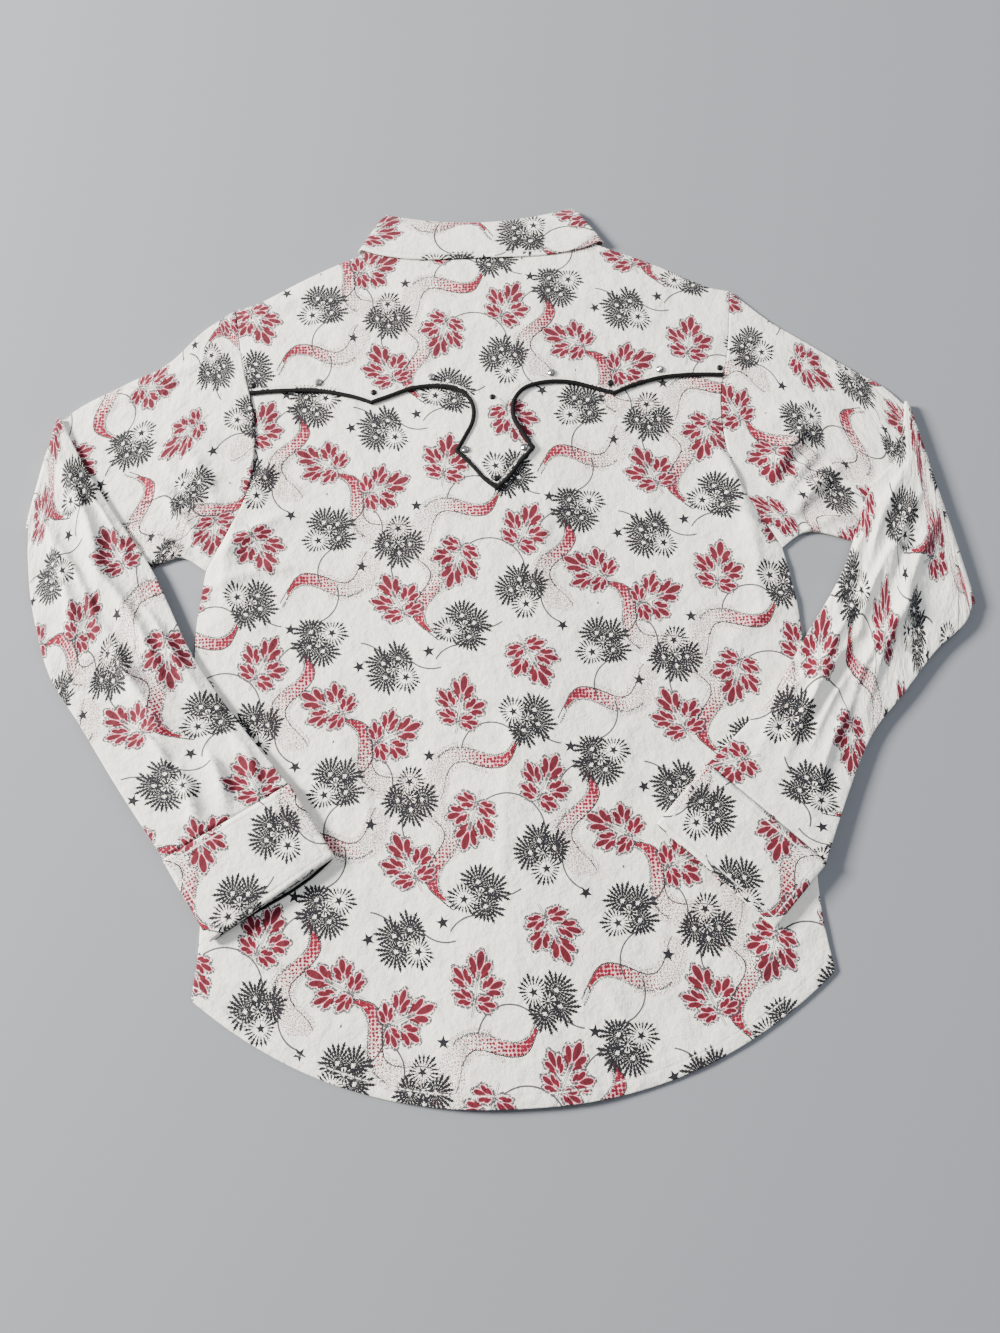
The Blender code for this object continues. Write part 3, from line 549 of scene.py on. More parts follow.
def hem_y(x):
    return HEM_Y + HEM_RISE * np.abs(x / HEM_HALF) ** HEM_CURVE


def hem_edge(x_from, x_to):
    return [np.array((x, hem_y(x))) for x in np.linspace(x_from, x_to, int(abs(x_to - x_from) / 4) + 2)]


def neck_edge(centre_y):
    """Right half of a neckline, from the neck side to the centre line."""
    side_y = SHOULDER[-1][1]
    turns = np.linspace(0.0, 0.5 * math.pi, 16)[1:]
    return [np.array((NECK_HALF * math.cos(t), side_y + (centre_y - side_y) * math.sin(t))) for t in turns]


def centre_share(x, y):
    return (1.0 - ease(24.0, 105.0, np.abs(x))) * (1.0 - ease(305.0, 345.0, y))


def wing_share(x, y):
    return ease(180.0, 250.0, y) * (1.0 - ease(125.0, 175.0, np.abs(x)))


def under_front(x, y, lap):
    """Height of a front's underside; lap is its rise over what it laps."""
    wing = WING_RISE * wing_share(x, y)
    return wing + (SNAP_RISE + lap - wing) * centre_share(x, y)


def resampled(points, step):
    """The closed outline with points a step apart."""
    points = np.array(points + [points[0]])
    gaps = np.hypot(*np.diff(points, axis=0).T)
    run = np.concatenate([[0.0], np.cumsum(gaps)])
    places = np.linspace(0.0, run[-1], int(run[-1] / step) + 1)[:-1]
    return np.stack([np.interp(places, run, points[:, k]) for k in range(2)], axis=1)


def inside(points, outline):
    """Whether each point lies inside the outline."""
    x, y = points[:, :1], points[:, 1:]
    start, end = outline, np.roll(outline, -1, axis=0)
    crosses = (start[:, 1] > y) != (end[:, 1] > y)
    rise = np.where(end[:, 1] == start[:, 1], 1.0, end[:, 1] - start[:, 1])
    at = start[:, 0] + (y - start[:, 1]) / rise * (end[:, 0] - start[:, 0])
    return (crosses & (x < at)).sum(axis=1) % 2 == 1


def edge_gap(points, run):
    """Distance from each point to a run of points, and how far along the run that is."""
    run = np.array(run)
    start, step = run[:-1], np.diff(run, axis=0)
    lengths = np.hypot(step[:, 0], step[:, 1])
    reached = np.concatenate([[0.0], np.cumsum(lengths)])[:-1]
    best = np.full(len(points), 1e9)
    along = np.zeros(len(points))
    for i in range(len(step)):
        from_start = points - start[i]
        share = np.clip(from_start @ step[i] / max(lengths[i] ** 2, 1e-9), 0.0, 1.0)
        far = np.hypot(*(from_start - share[:, None] * step[i]).T)
        closer = far < best
        best[closer] = far[closer]
        along[closer] = (reached[i] + share * lengths[i])[closer]
    return best, along


def crease_height(x, y, creases):
    """Summed height of listed creases: x0, y0, x1, y1, width, height and lean from -1 to 1."""
    total = np.zeros_like(x)
    for x0, y0, x1, y1, width, height, lean in creases:
        run = np.array((x1 - x0, y1 - y0))
        length = math.hypot(*run)
        along = ((x - x0) * run[0] + (y - y0) * run[1]) / length ** 2
        sag = 0.06 * length * np.sin(np.clip(along, 0.0, 1.0) * math.pi) * (1.0 if x1 > x0 else -1.0)
        side = ((x - x0) * -run[1] + (y - y0) * run[0]) / length - sag
        reach = width * np.where(side > 0.0, 1.0 - 0.6 * lean, 1.0 + 0.6 * lean)
        taper = ease(-0.12, 0.3, along) * (1.0 - ease(0.55, 1.12, along))
        total += height * np.exp(-np.abs(side / reach) ** 1.15) * taper
    return total


def rumple(x, y, seed):
    """Small slow unevenness that no pressed cloth is without, from 0 to about 1."""
    slow = [noise.noise(Vector((px * 0.014, py * 0.011, seed))) for px, py in zip(x, y)]
    quick = [noise.noise(Vector((px * 0.045, py * 0.03, seed + 9.0))) for px, py in zip(x, y)]
    return 0.5 + 0.55 * np.array(slow) + 0.25 * np.array(quick)


def new_piece(name, mesh, material, slot, *nodes):
    """A shown piece that rides on the shirt and stands for its plain solids."""
    piece = bpy.data.objects.new(name, mesh)
    bpy.context.scene.collection.objects.link(piece)
    mesh.materials.append(material)
    mesh.shade_smooth()
    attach(piece, "root")
    if nodes:
        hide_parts(*nodes)
    return piece


def write_uv(mesh, name, values):
    """values is one (u, v) for each vertex, in millimetres."""
    layer = mesh.uv_layers.new(name=name)
    corners = np.empty(len(mesh.loops), int)
    mesh.loops.foreach_get("vertex_index", corners)
    layer.data.foreach_set("uv", (values[corners] * MM).astype(np.float32).ravel())


def cut_panel(name, outline, top_of, step, stitch_run, stitch_in, hem_pucker=0.0):
    """A flat piece cut from lawn: its outline, its top's height, and its row of stitching."""
    border = resampled(outline, step)
    low, high = border.min(axis=0), border.max(axis=0)
    pitch = step * math.sqrt(0.75)
    lattice = []
    for j, y in enumerate(np.arange(low[1], high[1], pitch)):
        lattice += [(x, y) for x in np.arange(low[0] + 0.5 * step * (j % 2), high[0], step)]
    lattice = np.array(lattice)
    lattice = lattice[inside(lattice, border)]
    lattice = lattice[edge_gap(lattice, np.vstack([border, border[:1]]))[0] > 0.55 * step + 0.8]
    around = np.roll(border, -1, axis=0) - np.roll(border, 1, axis=0)
    normal = np.stack([-around[:, 1], around[:, 0]], axis=1) / np.hypot(*around.T)[:, None]
    lip = border + normal * 0.8
    lip = lip[inside(lip, border)]
    points = np.vstack([border, lip, lattice])
    count = len(border)
    edges = [(i, (i + 1) % count) for i in range(count)]
    flat, _, faces = delaunay_2d_cdt([Vector(p) for p in points], edges, [], 1, 1e-6)[:3]
    flat = np.array([tuple(p) for p in flat])
    x, y = flat[:, 0], flat[:, 1]
    rim = np.exp(-edge_gap(flat, np.vstack([border, border[:1]]))[0] / 2.0)
    sewn, along = edge_gap(flat, stitch_run)
    z = top_of(x, y) - 0.45 * rim
    if hem_pucker:
        ripple = np.sin(along / 5.3) + 0.7 * np.sin(along / 3.1 + 1.0)
        z += hem_pucker * (0.35 + 0.3 * ripple) * np.exp(-((sewn - stitch_in) / 5.0) ** 2)
    mesh = bpy.data.meshes.new(name)
    mesh.from_pydata(np.column_stack([x, y, z]) * MM, [], [tuple(f) for f in faces])
    write_uv(mesh, "grain", np.column_stack([x + LEAN * y, y]))
    write_uv(mesh, "stitch", np.column_stack([sewn - stitch_in, along]))
    return mesh


def lined_up(piece, thickness):
    """Give a piece of lawn its thickness, below its face."""
    solid = piece.modifiers.new("cloth", "SOLIDIFY")
    solid.thickness = thickness * MM
    solid.offset = -1.0
    return piece


side_edge = curve_through(SIDE_SEAM, 12)
armhole_edge = curve_through(ARMHOLE, 12)
shoulder_edge = curve_through(SHOULDER, 6)
front_side = side_edge[:-1] + armhole_edge[:-1] + shoulder_edge
FRONTS = (                      # name, inner edge, side, lap, who it rests on
    ("front_left", PLACKET_HALF + 0.3, -1, 0.0, ()),
    ("front_right", 1.5 - PLACKET_HALF, 1, PLY, ("placket",)),
)
placket_top = [np.array((x, FRONT_NECK_Y - 0.6)) for x in (PLACKET_HALF, -PLACKET_HALF)]
placket_outline = hem_edge(-PLACKET_HALF, PLACKET_HALF) + placket_top
placket_sides = [(-HEM_STITCH, HEM_Y), (-HEM_STITCH, FRONT_NECK_Y)]
mesh = cut_panel("placket", placket_outline, lambda x, y: under_front(x, y, 0.0) + WALL, COARSE,
                 placket_sides, 0.0)
placket = lined_up(new_piece("placket", mesh, lawn, "cotton_lawn", "front_placket"), LAWN_THICK)
for name, inner_x, side, lap, rests_on in FRONTS:
    neck = [p for p in neck_edge(FRONT_NECK_Y) if p[0] > max(inner_x, 0.0)]
    outline = hem_edge(inner_x, HEM_HALF)[:-1] + front_side + neck + [np.array((inner_x, FRONT_NECK_Y - 0.6))]
    hem = hem_edge(inner_x, HEM_HALF)
    if side < 0:
        outline, hem = mirrored(outline), mirrored(hem)
    mesh = cut_panel(name, outline, lambda x, y: under_front(x, y, lap) + WALL, COARSE, hem,
                     HEM_STITCH, 0.4)
    front = lined_up(new_piece(name + "_cloth", mesh, lawn, "cotton_lawn", name), LAWN_THICK)

# ---- Back ----------------------------------------------------------------------------------------
# One wide panel of lawn with a turned, stitched shirt-tail hem that puckers. It lies over the
# fronts, tucked where the armholes pull, and its top edge is hidden under the yoke.

BACK_TOP_Y = 222.0
BACK_CREASES = (
    (198.0, 142.0, 214.0, -24.0, 8.0, 3.8, 0.5),
    (-212.0, 106.0, -223.0, 6.0, 7.0, 3.4, -0.4),
    (-238.0, 46.0, -165.0, 96.0, 7.0, 4.7, 0.5),
    (-242.0, 26.0, -150.0, 44.0, 6.0, 3.6, -0.4),
    (-244.0, 4.0, -178.0, -18.0, 7.0, 3.0, 0.3),
    (-214.0, 96.0, -168.0, 150.0, 6.0, 3.2, 0.5),
    (238.0, 46.0, 176.0, 92.0, 7.0, 4.3, -0.5),
    (243.0, 24.0, 160.0, 32.0, 6.0, 3.6, 0.4),
    (246.0, 0.0, 186.0, -38.0, 7.0, 2.9, -0.3),
    (212.0, 92.0, 176.0, 160.0, 6.0, 3.0, -0.5),
    (-118.0, 150.0, -84.0, 40.0, 9.0, 1.7, 0.2),
    (-40.0, 84.0, -52.0, -60.0, 10.0, 1.4, 0.3),
    (58.0, 130.0, 38.0, -20.0, 10.0, 1.7, -0.2),
    (116.0, 156.0, 132.0, 20.0, 9.0, 1.4, 0.3),
    (-150.0, -70.0, -96.0, -220.0, 11.0, 1.7, 0.3),
    (16.0, -70.0, 4.0, -300.0, 9.0, 1.8, -0.3),
    (118.0, -60.0, 82.0, -210.0, 10.0, 1.4, 0.2),
    (-232.0, -250.0, -150.0, -300.0, 9.0, 2.2, 0.3),
    (232.0, -262.0, 150.0, -320.0, 9.0, 2.2, -0.3),
    (-70.0, -300.0, -30.0, -372.0, 7.0, 1.8, 0.4),
    (62.0, -290.0, 88.0, -362.0, 7.0, 1.7, -0.4),
)


def under_back(x, y):
    return under_front(x, y, PLY) + PLY


def back_top(x, y):
    """Top of the back: flat over what it covers, with its tucks and creases."""
    return under_back(x, y) + WALL + 0.75 * rumple(x, y, 3.0) + crease_height(x, y, BACK_CREASES)


back_armhole = [p for p in armhole_edge if p[1] < BACK_TOP_Y - 4.0]
back_side = side_edge[:-1] + back_armhole + [np.array((back_armhole[-1][0] + 3.0, BACK_TOP_Y))]
back_hem = hem_edge(-HEM_HALF, HEM_HALF)
back_outline = back_hem[1:-1] + back_side + mirrored(back_side)
mesh = cut_panel("back", back_outline, back_top, FINE, back_hem, HEM_STITCH, 1.0)
back = lined_up(new_piece("back_cloth", mesh, lawn, "cotton_lawn", "back"), LAWN_THICK)

# ---- Yoke ----------------------------------------------------------------------------------------
# A second layer of lawn over the shoulders, cut to a western shape: a scallop each side, an arch,
# and an arrowhead at the centre back. Its edge is turned under against the piping.

YOKE_X = 4.0                    # the figure sits this far off centre
YOKE_SCALLOP = (
    (206.0, 205.0),
    (188.0, 206.0),
    (166.0, 206.0),
    (146.0, 204.0),
    (122.0, 198.0),
    (105.5, 191.5),
)
YOKE_ARCH = (
    (105.5, 191.5),
    (90.0, 196.5),
    (70.0, 202.5),
    (50.0, 203.5),
    (31.0, 199.5),
    (21.0, 191.0),
    (17.0, 180.0),
    (18.5, 167.0),
    (26.0, 152.5),
    (32.5, 141.0),
)
YOKE_ARROW = (
    (32.5, 141.0),
    (20.0, 127.0),
    (10.0, 114.0),
    (0.0, 105.0),
)
PIPING_R = 1.8
YOKE_CREASES = (
    (-214.0, 250.0, -150.0, 226.0, 8.0, 2.2, 0.4),
    (-206.0, 282.0, -130.0, 300.0, 8.0, 2.0, -0.3),
    (212.0, 246.0, 150.0, 228.0, 8.0, 2.2, -0.4),
    (204.0, 280.0, 132.0, 296.0, 8.0, 2.0, 0.3),
    (-70.0, 318.0, -30.0, 240.0, 10.0, 1.4, 0.2),
    (64.0, 316.0, 36.0, 236.0, 10.0, 1.4, -0.2),
)


def yoke_shift(x):
    return YOKE_X * (1.0 - ease(110.0, 200.0, np.abs(x)))


def moved_aside(points, distance):
    """The same run of points, moved to its left."""
    run = np.array(points)
    along = np.gradient(run, axis=0)
    along /= np.hypot(*along.T)[:, None]
    return list(run + np.column_stack([-along[:, 1], along[:, 0]]) * distance)


def yoke_top(x, y):
    rise = PLY * (1.0 - 0.6 * ease(262.0, 290.0, y) * ease(120.0, 190.0, np.abs(x)))
    ply = 0.75 * rumple(x, y, 3.0) + crease_height(x, y, BACK_CREASES) * ease(240.0, 200.0, y)
    return under_back(x, y) + rise + WALL + ply + crease_height(x, y, YOKE_CREASES)


half_seam = curve_through(YOKE_SCALLOP, 8)[:-1] + curve_through(YOKE_ARCH, 8)[:-1]
half_seam += curve_through(YOKE_ARROW, 6)
yoke_seam = [np.array((x + yoke_shift(x), y)) for x, y in half_seam + mirrored(half_seam)[1:]]
yoke_edge = moved_aside(yoke_seam[::-1], PIPING_R - 0.3)
yoke_armhole = [p for p in armhole_edge if p[1] > YOKE_SCALLOP[0][1] + 6.0]
yoke_side = yoke_armhole[:-1] + shoulder_edge + neck_edge(BACK_NECK_Y)
yoke_outline = yoke_edge + yoke_side + mirrored(yoke_side)[1:]
mesh = cut_panel("yoke", yoke_outline, yoke_top, 3.4, yoke_seam, 3.6)
yoke = lined_up(new_piece("yoke_cloth", mesh, lawn, "cotton_lawn", "back_yoke"), LAWN_THICK)

# ---- Yoke piping ---------------------------------------------------------------------------------
# A bias strip of black cotton folded over a round cord and caught in the yoke's seam, so it stands
# up along the edge. The strip's twill lines wind round the cord.

PIPING_BLACK = "#040405"


def bias_cotton():
    """Dyed woven cotton on the bias: matt black, with slanting ribs half a millimetre apart."""
    material, tree = empty_material("black cotton bias, woven and dyed")
    grain = add(tree, "UVMap", uv_map="grain")
    # Ribs of 0.25 mm are drawn at 0.9 mm, so that they can show.
    ribs = add(tree, "VectorMath", grain, (520.0, 900.0, 0.0), operation="MULTIPLY")
    ribs = add(tree, "TexWave", ribs, 1.0, 0.6, 1.0, wave_type="BANDS", bands_direction="DIAGONAL")
    lint = add(tree, "TexNoise", grain, 900.0, 3.0, noise_dimensions="2D")
    worn = add(tree, "MapRange", lint, 0.45, 0.8, 0.0, 0.5)
    colour = ink(tree, linear(PIPING_BLACK), worn, "#121215")
    height = add(tree, "Math", lint, 0.4, ribs, operation="MULTIPLY_ADD")
    bump = add(tree, "Bump", 0.5, 0.0003, None, height)
    roughness = add(tree, "MapRange", ribs, 0.0, 1.0, 0.78, 0.92)
    finish_surface(tree, colour, roughness, bump, {"Sheen Weight": 0.02, "Specular IOR Level": 0.22})
    return material


def cord_mesh(name, path, radius_at, facets):
    """A closed round cord along the path, in millimetres; radius_at takes the share along it."""
    path = np.array(path)
    along = np.gradient(path, axis=0)
    along /= np.linalg.norm(along, axis=1)[:, None]
    side = np.column_stack([-along[:, 1], along[:, 0], np.zeros(len(path))])
    side /= np.linalg.norm(side, axis=1)[:, None]
    up = np.cross(along, side)
    run = np.concatenate([[0.0], np.cumsum(np.linalg.norm(np.diff(path, axis=0), axis=1))])
    radius = np.array([radius_at(share) for share in run / run[-1]])[:, None]
    turns = np.arange(facets) * 2.0 * math.pi / facets
    rings = [path + radius * (side * math.cos(t) + up * math.sin(t)) for t in turns]
    verts = np.stack(rings, axis=1).reshape(-1, 3)
    faces = []
    for i in range(len(path) - 1):
        for j in range(facets):
            k = (j + 1) % facets
            faces.append((i * facets + j, i * facets + k, (i + 1) * facets + k, (i + 1) * facets + j))
    faces.append(tuple(range(facets)))
    faces.append(tuple((len(path) - 1) * facets + j for j in reversed(range(facets))))
    mesh = bpy.data.meshes.new(name)
    mesh.from_pydata(verts * MM, [], faces)
    mesh.flip_normals()
    around = np.tile(turns * float(radius.max()), len(path))
    write_uv(mesh, "grain", np.column_stack([around, np.repeat(run, facets)]))
    return mesh


piping_cotton = bias_cotton()
dense_seam = np.array(curve_through(yoke_seam[::2], 4))
piping_z = back_top(dense_seam[:, 0], dense_seam[:, 1]) + PIPING_R
piping_path = np.column_stack([dense_seam, piping_z])
mesh = cord_mesh("yoke_piping", piping_path, lambda share: PIPING_R, 14)
new_piece("yoke_piping_cord", mesh, piping_cotton, "piping", "yoke_piping")

# ---- Yoke studs ----------------------------------------------------------------------------------
# Six black enamelled domes and six cut-glass stones in plated cups, set by hand along the piping.
# A ring of small claws behind the cloth holds each one.

STUD_BLACK_R, STUD_BLACK_H = 2.7, 1.6


def turned_mesh(name, profile, steps):
    """A solid of revolution about Z from rows of radius and height, in millimetres."""
    verts, faces = [(0.0, 0.0, profile[0][1])], []
    for radius, height in profile[1:]:
        for i in range(steps):
            turn = 2.0 * math.pi * i / steps
            verts.append((radius * math.cos(turn), radius * math.sin(turn), height))
    for i in range(steps):
        faces.append((0, 1 + i, 1 + (i + 1) % steps))
    for row in range(len(profile) - 2):
        for i in range(steps):
            near, far = 1 + row * steps, 1 + (row + 1) * steps
            j = (i + 1) % steps
            faces.append((near + i, far + i, far + j, near + j))
    faces.append(tuple(1 + (len(profile) - 2) * steps + i for i in range(steps))[::-1])
    mesh = bpy.data.meshes.new(name)
    mesh.from_pydata([Vector(v) * MM for v in verts], [], faces)
    mesh.shade_smooth()
    return mesh


def glossy(name, colour, fleck, roughness, scale, constants):
    """A smooth hard finish with a faint mottle, its scale in millimetres."""
    material, tree = empty_material(name)
    place = add(tree, "TexCoord").node.outputs["Object"]
    mottle = add(tree, "TexNoise", place, 1.0 / (scale * MM), 3.0, noise_dimensions="3D")
    tint = ink(tree, linear(colour), mottle, fleck)
    rough = add(tree, "MapRange", mottle, 0.2, 0.8, roughness, roughness + 0.1)
    finish_surface(tree, tint, rough, None, constants)
    return material


enamel = glossy("black enamel, fired satin", "#040405", "#0B0B0D", 0.38, 0.8, {"Specular IOR Level": 0.3})
plated = glossy("nickel plating on brass, bright", "#8E8C87", "#66645F", 0.16, 0.5, {"Metallic": 1.0})
glass = glossy("cut glass, foiled behind", "#CBCBCA", "#6F7276", 0.06, 1.1,
               {"Metallic": 0.85, "Coat Weight": 1.0})


def dome_profile(radius, height):
    rows = [(radius * math.sin(t), height * math.cos(t)) for t in np.linspace(0.0, 0.5 * math.pi, 9)]
    return rows + [(radius * 1.06, 0.0), (radius * 1.06, -0.25), (radius * 0.9, -0.3)]


def stud_seat(node):
    """Where a stud stands: the middle of its solid, on the yoke's face."""
    low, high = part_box(node)
    x, y = [0.5 * (low[k] + high[k]) / MM for k in range(2)]
    return x, y, float(yoke_top(np.array([x]), np.array([y]))[0])


def stand_at(mesh, place):
    mesh.transform(Matrix.Translation(Vector(place) * MM))
    return mesh


def stone_mesh(name):
    """A round brilliant: a flat table, two rings of facets to the girdle, then its foot."""
    rows = ((1.25, 2.4, 0.0), (2.15, 1.95, 0.5), (2.7, 1.3, 0.0), (2.75, 0.6, 0.5))
    sides = 10
    shape = bmesh.new()
    rings = []
    for radius, height, twist in rows:
        turns = [(i + twist) * 2.0 * math.pi / sides for i in range(sides)]
        rings.append([shape.verts.new(Vector((radius * math.cos(t), radius * math.sin(t), height)) * MM)
                      for t in turns])
    shape.faces.new(rings[0])
    for level, (upper, lower) in enumerate(zip(rings, rings[1:])):
        twist = -1 if level % 2 else 0
        for i in range(sides):
            j = (i + 1) % sides
            shape.faces.new((upper[i], lower[(i + twist) % sides], lower[(i + twist + 1) % sides]))
            shape.faces.new((upper[i], lower[(i + twist + 1) % sides], upper[j]))
    shape.faces.new(rings[-1][::-1])
    bmesh.ops.recalc_face_normals(shape, faces=shape.faces)
    mesh = bpy.data.meshes.new(name)
    shape.to_mesh(mesh)
    shape.free()
    return mesh


CUP = ((0.0, 0.2), (2.5, 0.25), (2.72, 0.75), (2.85, 1.15), (3.15, 1.2), (3.3, 0.85), (3.35, 0.3),
       (3.3, -0.2), (2.6, -0.3))
for i in range(1, 7):
    node = f"yoke_stud_black_{i}"
    mesh = turned_mesh(node, dome_profile(STUD_BLACK_R, STUD_BLACK_H), 28)
    new_piece(node + "_dome", stand_at(mesh, stud_seat(node)), enamel, "black_stud", node)
    node = f"yoke_stud_clear_{i}"
    mesh = stand_at(turned_mesh(node, CUP, 30), stud_seat(node))
    new_piece(node + "_cup", mesh, plated, "clear_stud", node)
    mesh = stand_at(stone_mesh(node + "_stone"), stud_seat(node))
    new_piece(node + "_stone", mesh, glass, "clear_stud")
    mesh.shade_flat()

# ---- Front snaps ---------------------------------------------------------------------------------
# Seven pearl-topped snaps down the placket, face down under the shirt: a pressed brass cap with a
# pearly resin top. They stay as their own solids and take a finish here.

pearl = glossy("pearl resin in a brass cap", "#E9E4DA", "#CFC8BF", 0.22, 1.6, {"Coat Weight": 0.5})
for i in range(1, 8):
    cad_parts[f"front_snap_{i}"].data.materials.clear()
    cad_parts[f"front_snap_{i}"].data.materials.append(pearl)
for side in ("left", "right"):
    for i in (1, 2):
        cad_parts[f"cuff_snap_{side}_{i}"].data.materials.clear()
        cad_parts[f"cuff_snap_{side}_{i}"].data.materials.append(pearl)

# ---- Sleeves -------------------------------------------------------------------------------------
# Each sleeve is one tube of lawn, set into the armhole, laid flat, and folded back at the elbow so
# that the forearm crosses over and rests beside the body. Its cloth bunches into lengthwise folds.

SLEEVE_HALF, TURN_R = 2.0, 2.4
SEAM_CLEAR = 0.2
TABLE_CLEAR, CREST_TOP = 0.02, 20.6   # no point of a sleeve lies lower or higher
#    over x, y, under x, y, bow, mid
UPPER_LEFT = (
    (-249.0, 269.0, -262.0, 56.0, 14.0, 2.1),
    (-279.0, 238.0, -290.0, 48.0, 4.0, 2.1),
    (-312.0, 221.0, -325.0, 50.0, 0.0, 2.0),
    (-350.0, 201.0, -364.0, 66.0, 0.0, 2.0),
)
ELBOW_LEFT = (-368.0, 187.0, -388.0, 86.0, 0.0, 2.0)
FOREARM_LEFT = (
    (-350.0, 150.0, -386.0, 55.0, 0.0, 6.8),
    (-318.0, 97.0, -379.0, 12.0, 0.0, 6.8),
    (-284.0, 45.0, -362.0, -42.0, 0.0, 6.6),
    (-248.0, -30.0, -335.0, -84.0, 0.0, 6.4),
    (-210.0, -86.0, -302.0, -136.0, 0.0, 7.2),
    (-169.0, -138.5, -264.0, -191.5, 0.0, 8.4),
)
UPPER_RIGHT = (
    (252.0, 258.0, 262.0, 56.0, 14.0, 2.1),
    (282.0, 235.0, 290.0, 50.0, 4.0, 2.1),
    (316.0, 209.0, 328.0, 32.0, 0.0, 2.0),
    (344.0, 189.0, 366.0, 4.0, 0.0, 2.0),
)
ELBOW_RIGHT = (360.0, 171.0, 388.5, -14.0, 0.0, 2.0)
FOREARM_RIGHT = (
    (348.0, 124.0, 379.0, -31.0, 0.0, 6.8),
    (317.0, 88.0, 352.0, -53.0, 0.0, 6.8),
    (288.0, 22.0, 322.0, -86.0, 0.0, 6.6),
    (253.0, -30.0, 293.0, -117.0, 0.0, 6.4),
    (213.0, -86.0, 270.0, -157.0, 0.0, 7.2),
    (159.0, -136.5, 242.0, -216.0, 0.0, 8.4),
)
UPPER_CREASES_LEFT = (
    (-244.0, 62.0, -296.0, 128.0, 5.0, 7.0, 0.7),
    (-247.0, 50.0, -304.0, 84.0, 4.2, 6.4, -0.6),
    (-232.0, 94.0, -272.0, 168.0, 5.5, 5.6, 0.6),
    (-256.0, 52.0, -300.0, 58.0, 4.0, 4.0, 0.5),
    (-228.0, 150.0, -300.0, 182.0, 6.0, 3.2, -0.3),
    (-230.0, 240.0, -318.0, 200.0, 7.0, 3.0, 0.4),
    (-238.0, 76.0, -286.0, 150.0, 3.2, 4.4, 0.5),
    (-236.0, 118.0, -290.0, 160.0, 3.2, 3.6, -0.4),
    (-300.0, 214.0, -346.0, 180.0, 4.0, 2.4, 0.3),
)
UPPER_CREASES_RIGHT = (
    (246.0, 62.0, 304.0, 116.0, 5.0, 7.0, -0.7),
    (250.0, 50.0, 312.0, 74.0, 4.2, 6.4, 0.6),
    (234.0, 92.0, 282.0, 160.0, 5.5, 5.6, -0.6),
    (258.0, 48.0, 306.0, 46.0, 4.0, 4.4, -0.5),
    (230.0, 150.0, 306.0, 180.0, 6.0, 3.4, 0.3),
    (234.0, 236.0, 322.0, 194.0, 7.0, 3.0, -0.4),
    (240.0, 78.0, 292.0, 138.0, 3.2, 4.6, -0.5),
    (238.0, 116.0, 296.0, 158.0, 3.2, 3.6, 0.4),
    (300.0, 208.0, 336.0, 172.0, 4.0, 2.6, -0.3),
)
FOREARM_CREASES_LEFT = (
    (-366.0, 150.0, -322.0, 20.0, 8.0, 7.9, 0.4),
    (-376.0, 96.0, -344.0, -30.0, 7.0, 6.7, -0.4),
    (-340.0, 60.0, -262.0, -70.0, 8.0, 7.3, 0.5),
    (-316.0, -20.0, -262.0, -120.0, 9.0, 7.9, -0.4),
    (-276.0, -10.0, -226.0, -96.0, 7.0, 5.6, 0.3),
    (-232.0, -108.0, -216.0, -160.0, 4.0, 7.9, 0.4),
    (-256.0, -118.0, -240.0, -176.0, 4.0, 7.3, -0.4),
    (-206.0, -100.0, -192.0, -150.0, 4.0, 6.1, 0.3),
    (-354.0, 134.0, -296.0, 30.0, 3.2, 4.7, -0.5),
    (-360.0, 70.0, -318.0, -30.0, 3.0, 4.3, 0.5),
    (-330.0, 10.0, -284.0, -84.0, 3.2, 4.7, -0.4),
    (-294.0, 20.0, -250.0, -60.0, 3.0, 4.0, 0.4),
    (-286.0, -84.0, -252.0, -150.0, 3.0, 4.7, 0.5),
    (-236.0, -60.0, -204.0, -124.0, 3.0, 3.6, -0.4),
)
FOREARM_CREASES_RIGHT = (
    (356.0, 116.0, 300.0, 0.0, 6.0, 6.4, -0.8),
    (370.0, 60.0, 318.0, -60.0, 6.5, 7.1, 0.7),
    (338.0, 96.0, 262.0, -60.0, 5.0, 5.8, -0.7),
    (352.0, 10.0, 288.0, -104.0, 5.0, 6.0, 0.7),
    (318.0, 20.0, 232.0, -120.0, 6.0, 6.2, -0.7),
    (296.0, -30.0, 216.0, -146.0, 5.0, 5.3, 0.6),
    (262.0, -50.0, 194.0, -140.0, 5.0, 4.4, -0.5),
    (280.0, -90.0, 236.0, -186.0, 5.0, 4.6, 0.6),
    (330.0, 110.0, 304.0, 60.0, 6.0, 4.6, 0.5),
    (364.0, 90.0, 312.0, -20.0, 3.0, 4.2, 0.6),
    (344.0, 60.0, 282.0, -60.0, 3.2, 4.4, -0.6),
    (334.0, -10.0, 270.0, -110.0, 3.0, 4.0, 0.6),
    (306.0, 50.0, 252.0, -70.0, 3.2, 3.8, -0.5),
    (286.0, -60.0, 232.0, -150.0, 3.0, 3.4, -0.5),
)
AROUND = 72                     # points across one face of a sleeve
STEPS = 12                      # sections between two rows


def armhole_places(shares, clear):
    """Points along the right armhole seam, from the shoulder to the armpit, set off outward."""
    seam = np.array(moved_aside(armhole_edge[::-1], clear))
    run = np.concatenate([[0.0], np.cumsum(np.hypot(*np.diff(seam, axis=0).T))])
    return np.column_stack([np.interp(shares * run[-1], run, seam[:, k]) for k in range(2)])


def face_shares():
    """Shares across a sleeve, over its upper face and back under its lower one."""
    turn = np.arange(2 * AROUND) * math.pi / AROUND
    return 0.5 - 0.5 * np.cos(turn), np.sign(np.sin(turn)) * np.abs(np.sin(turn)) ** 0.32


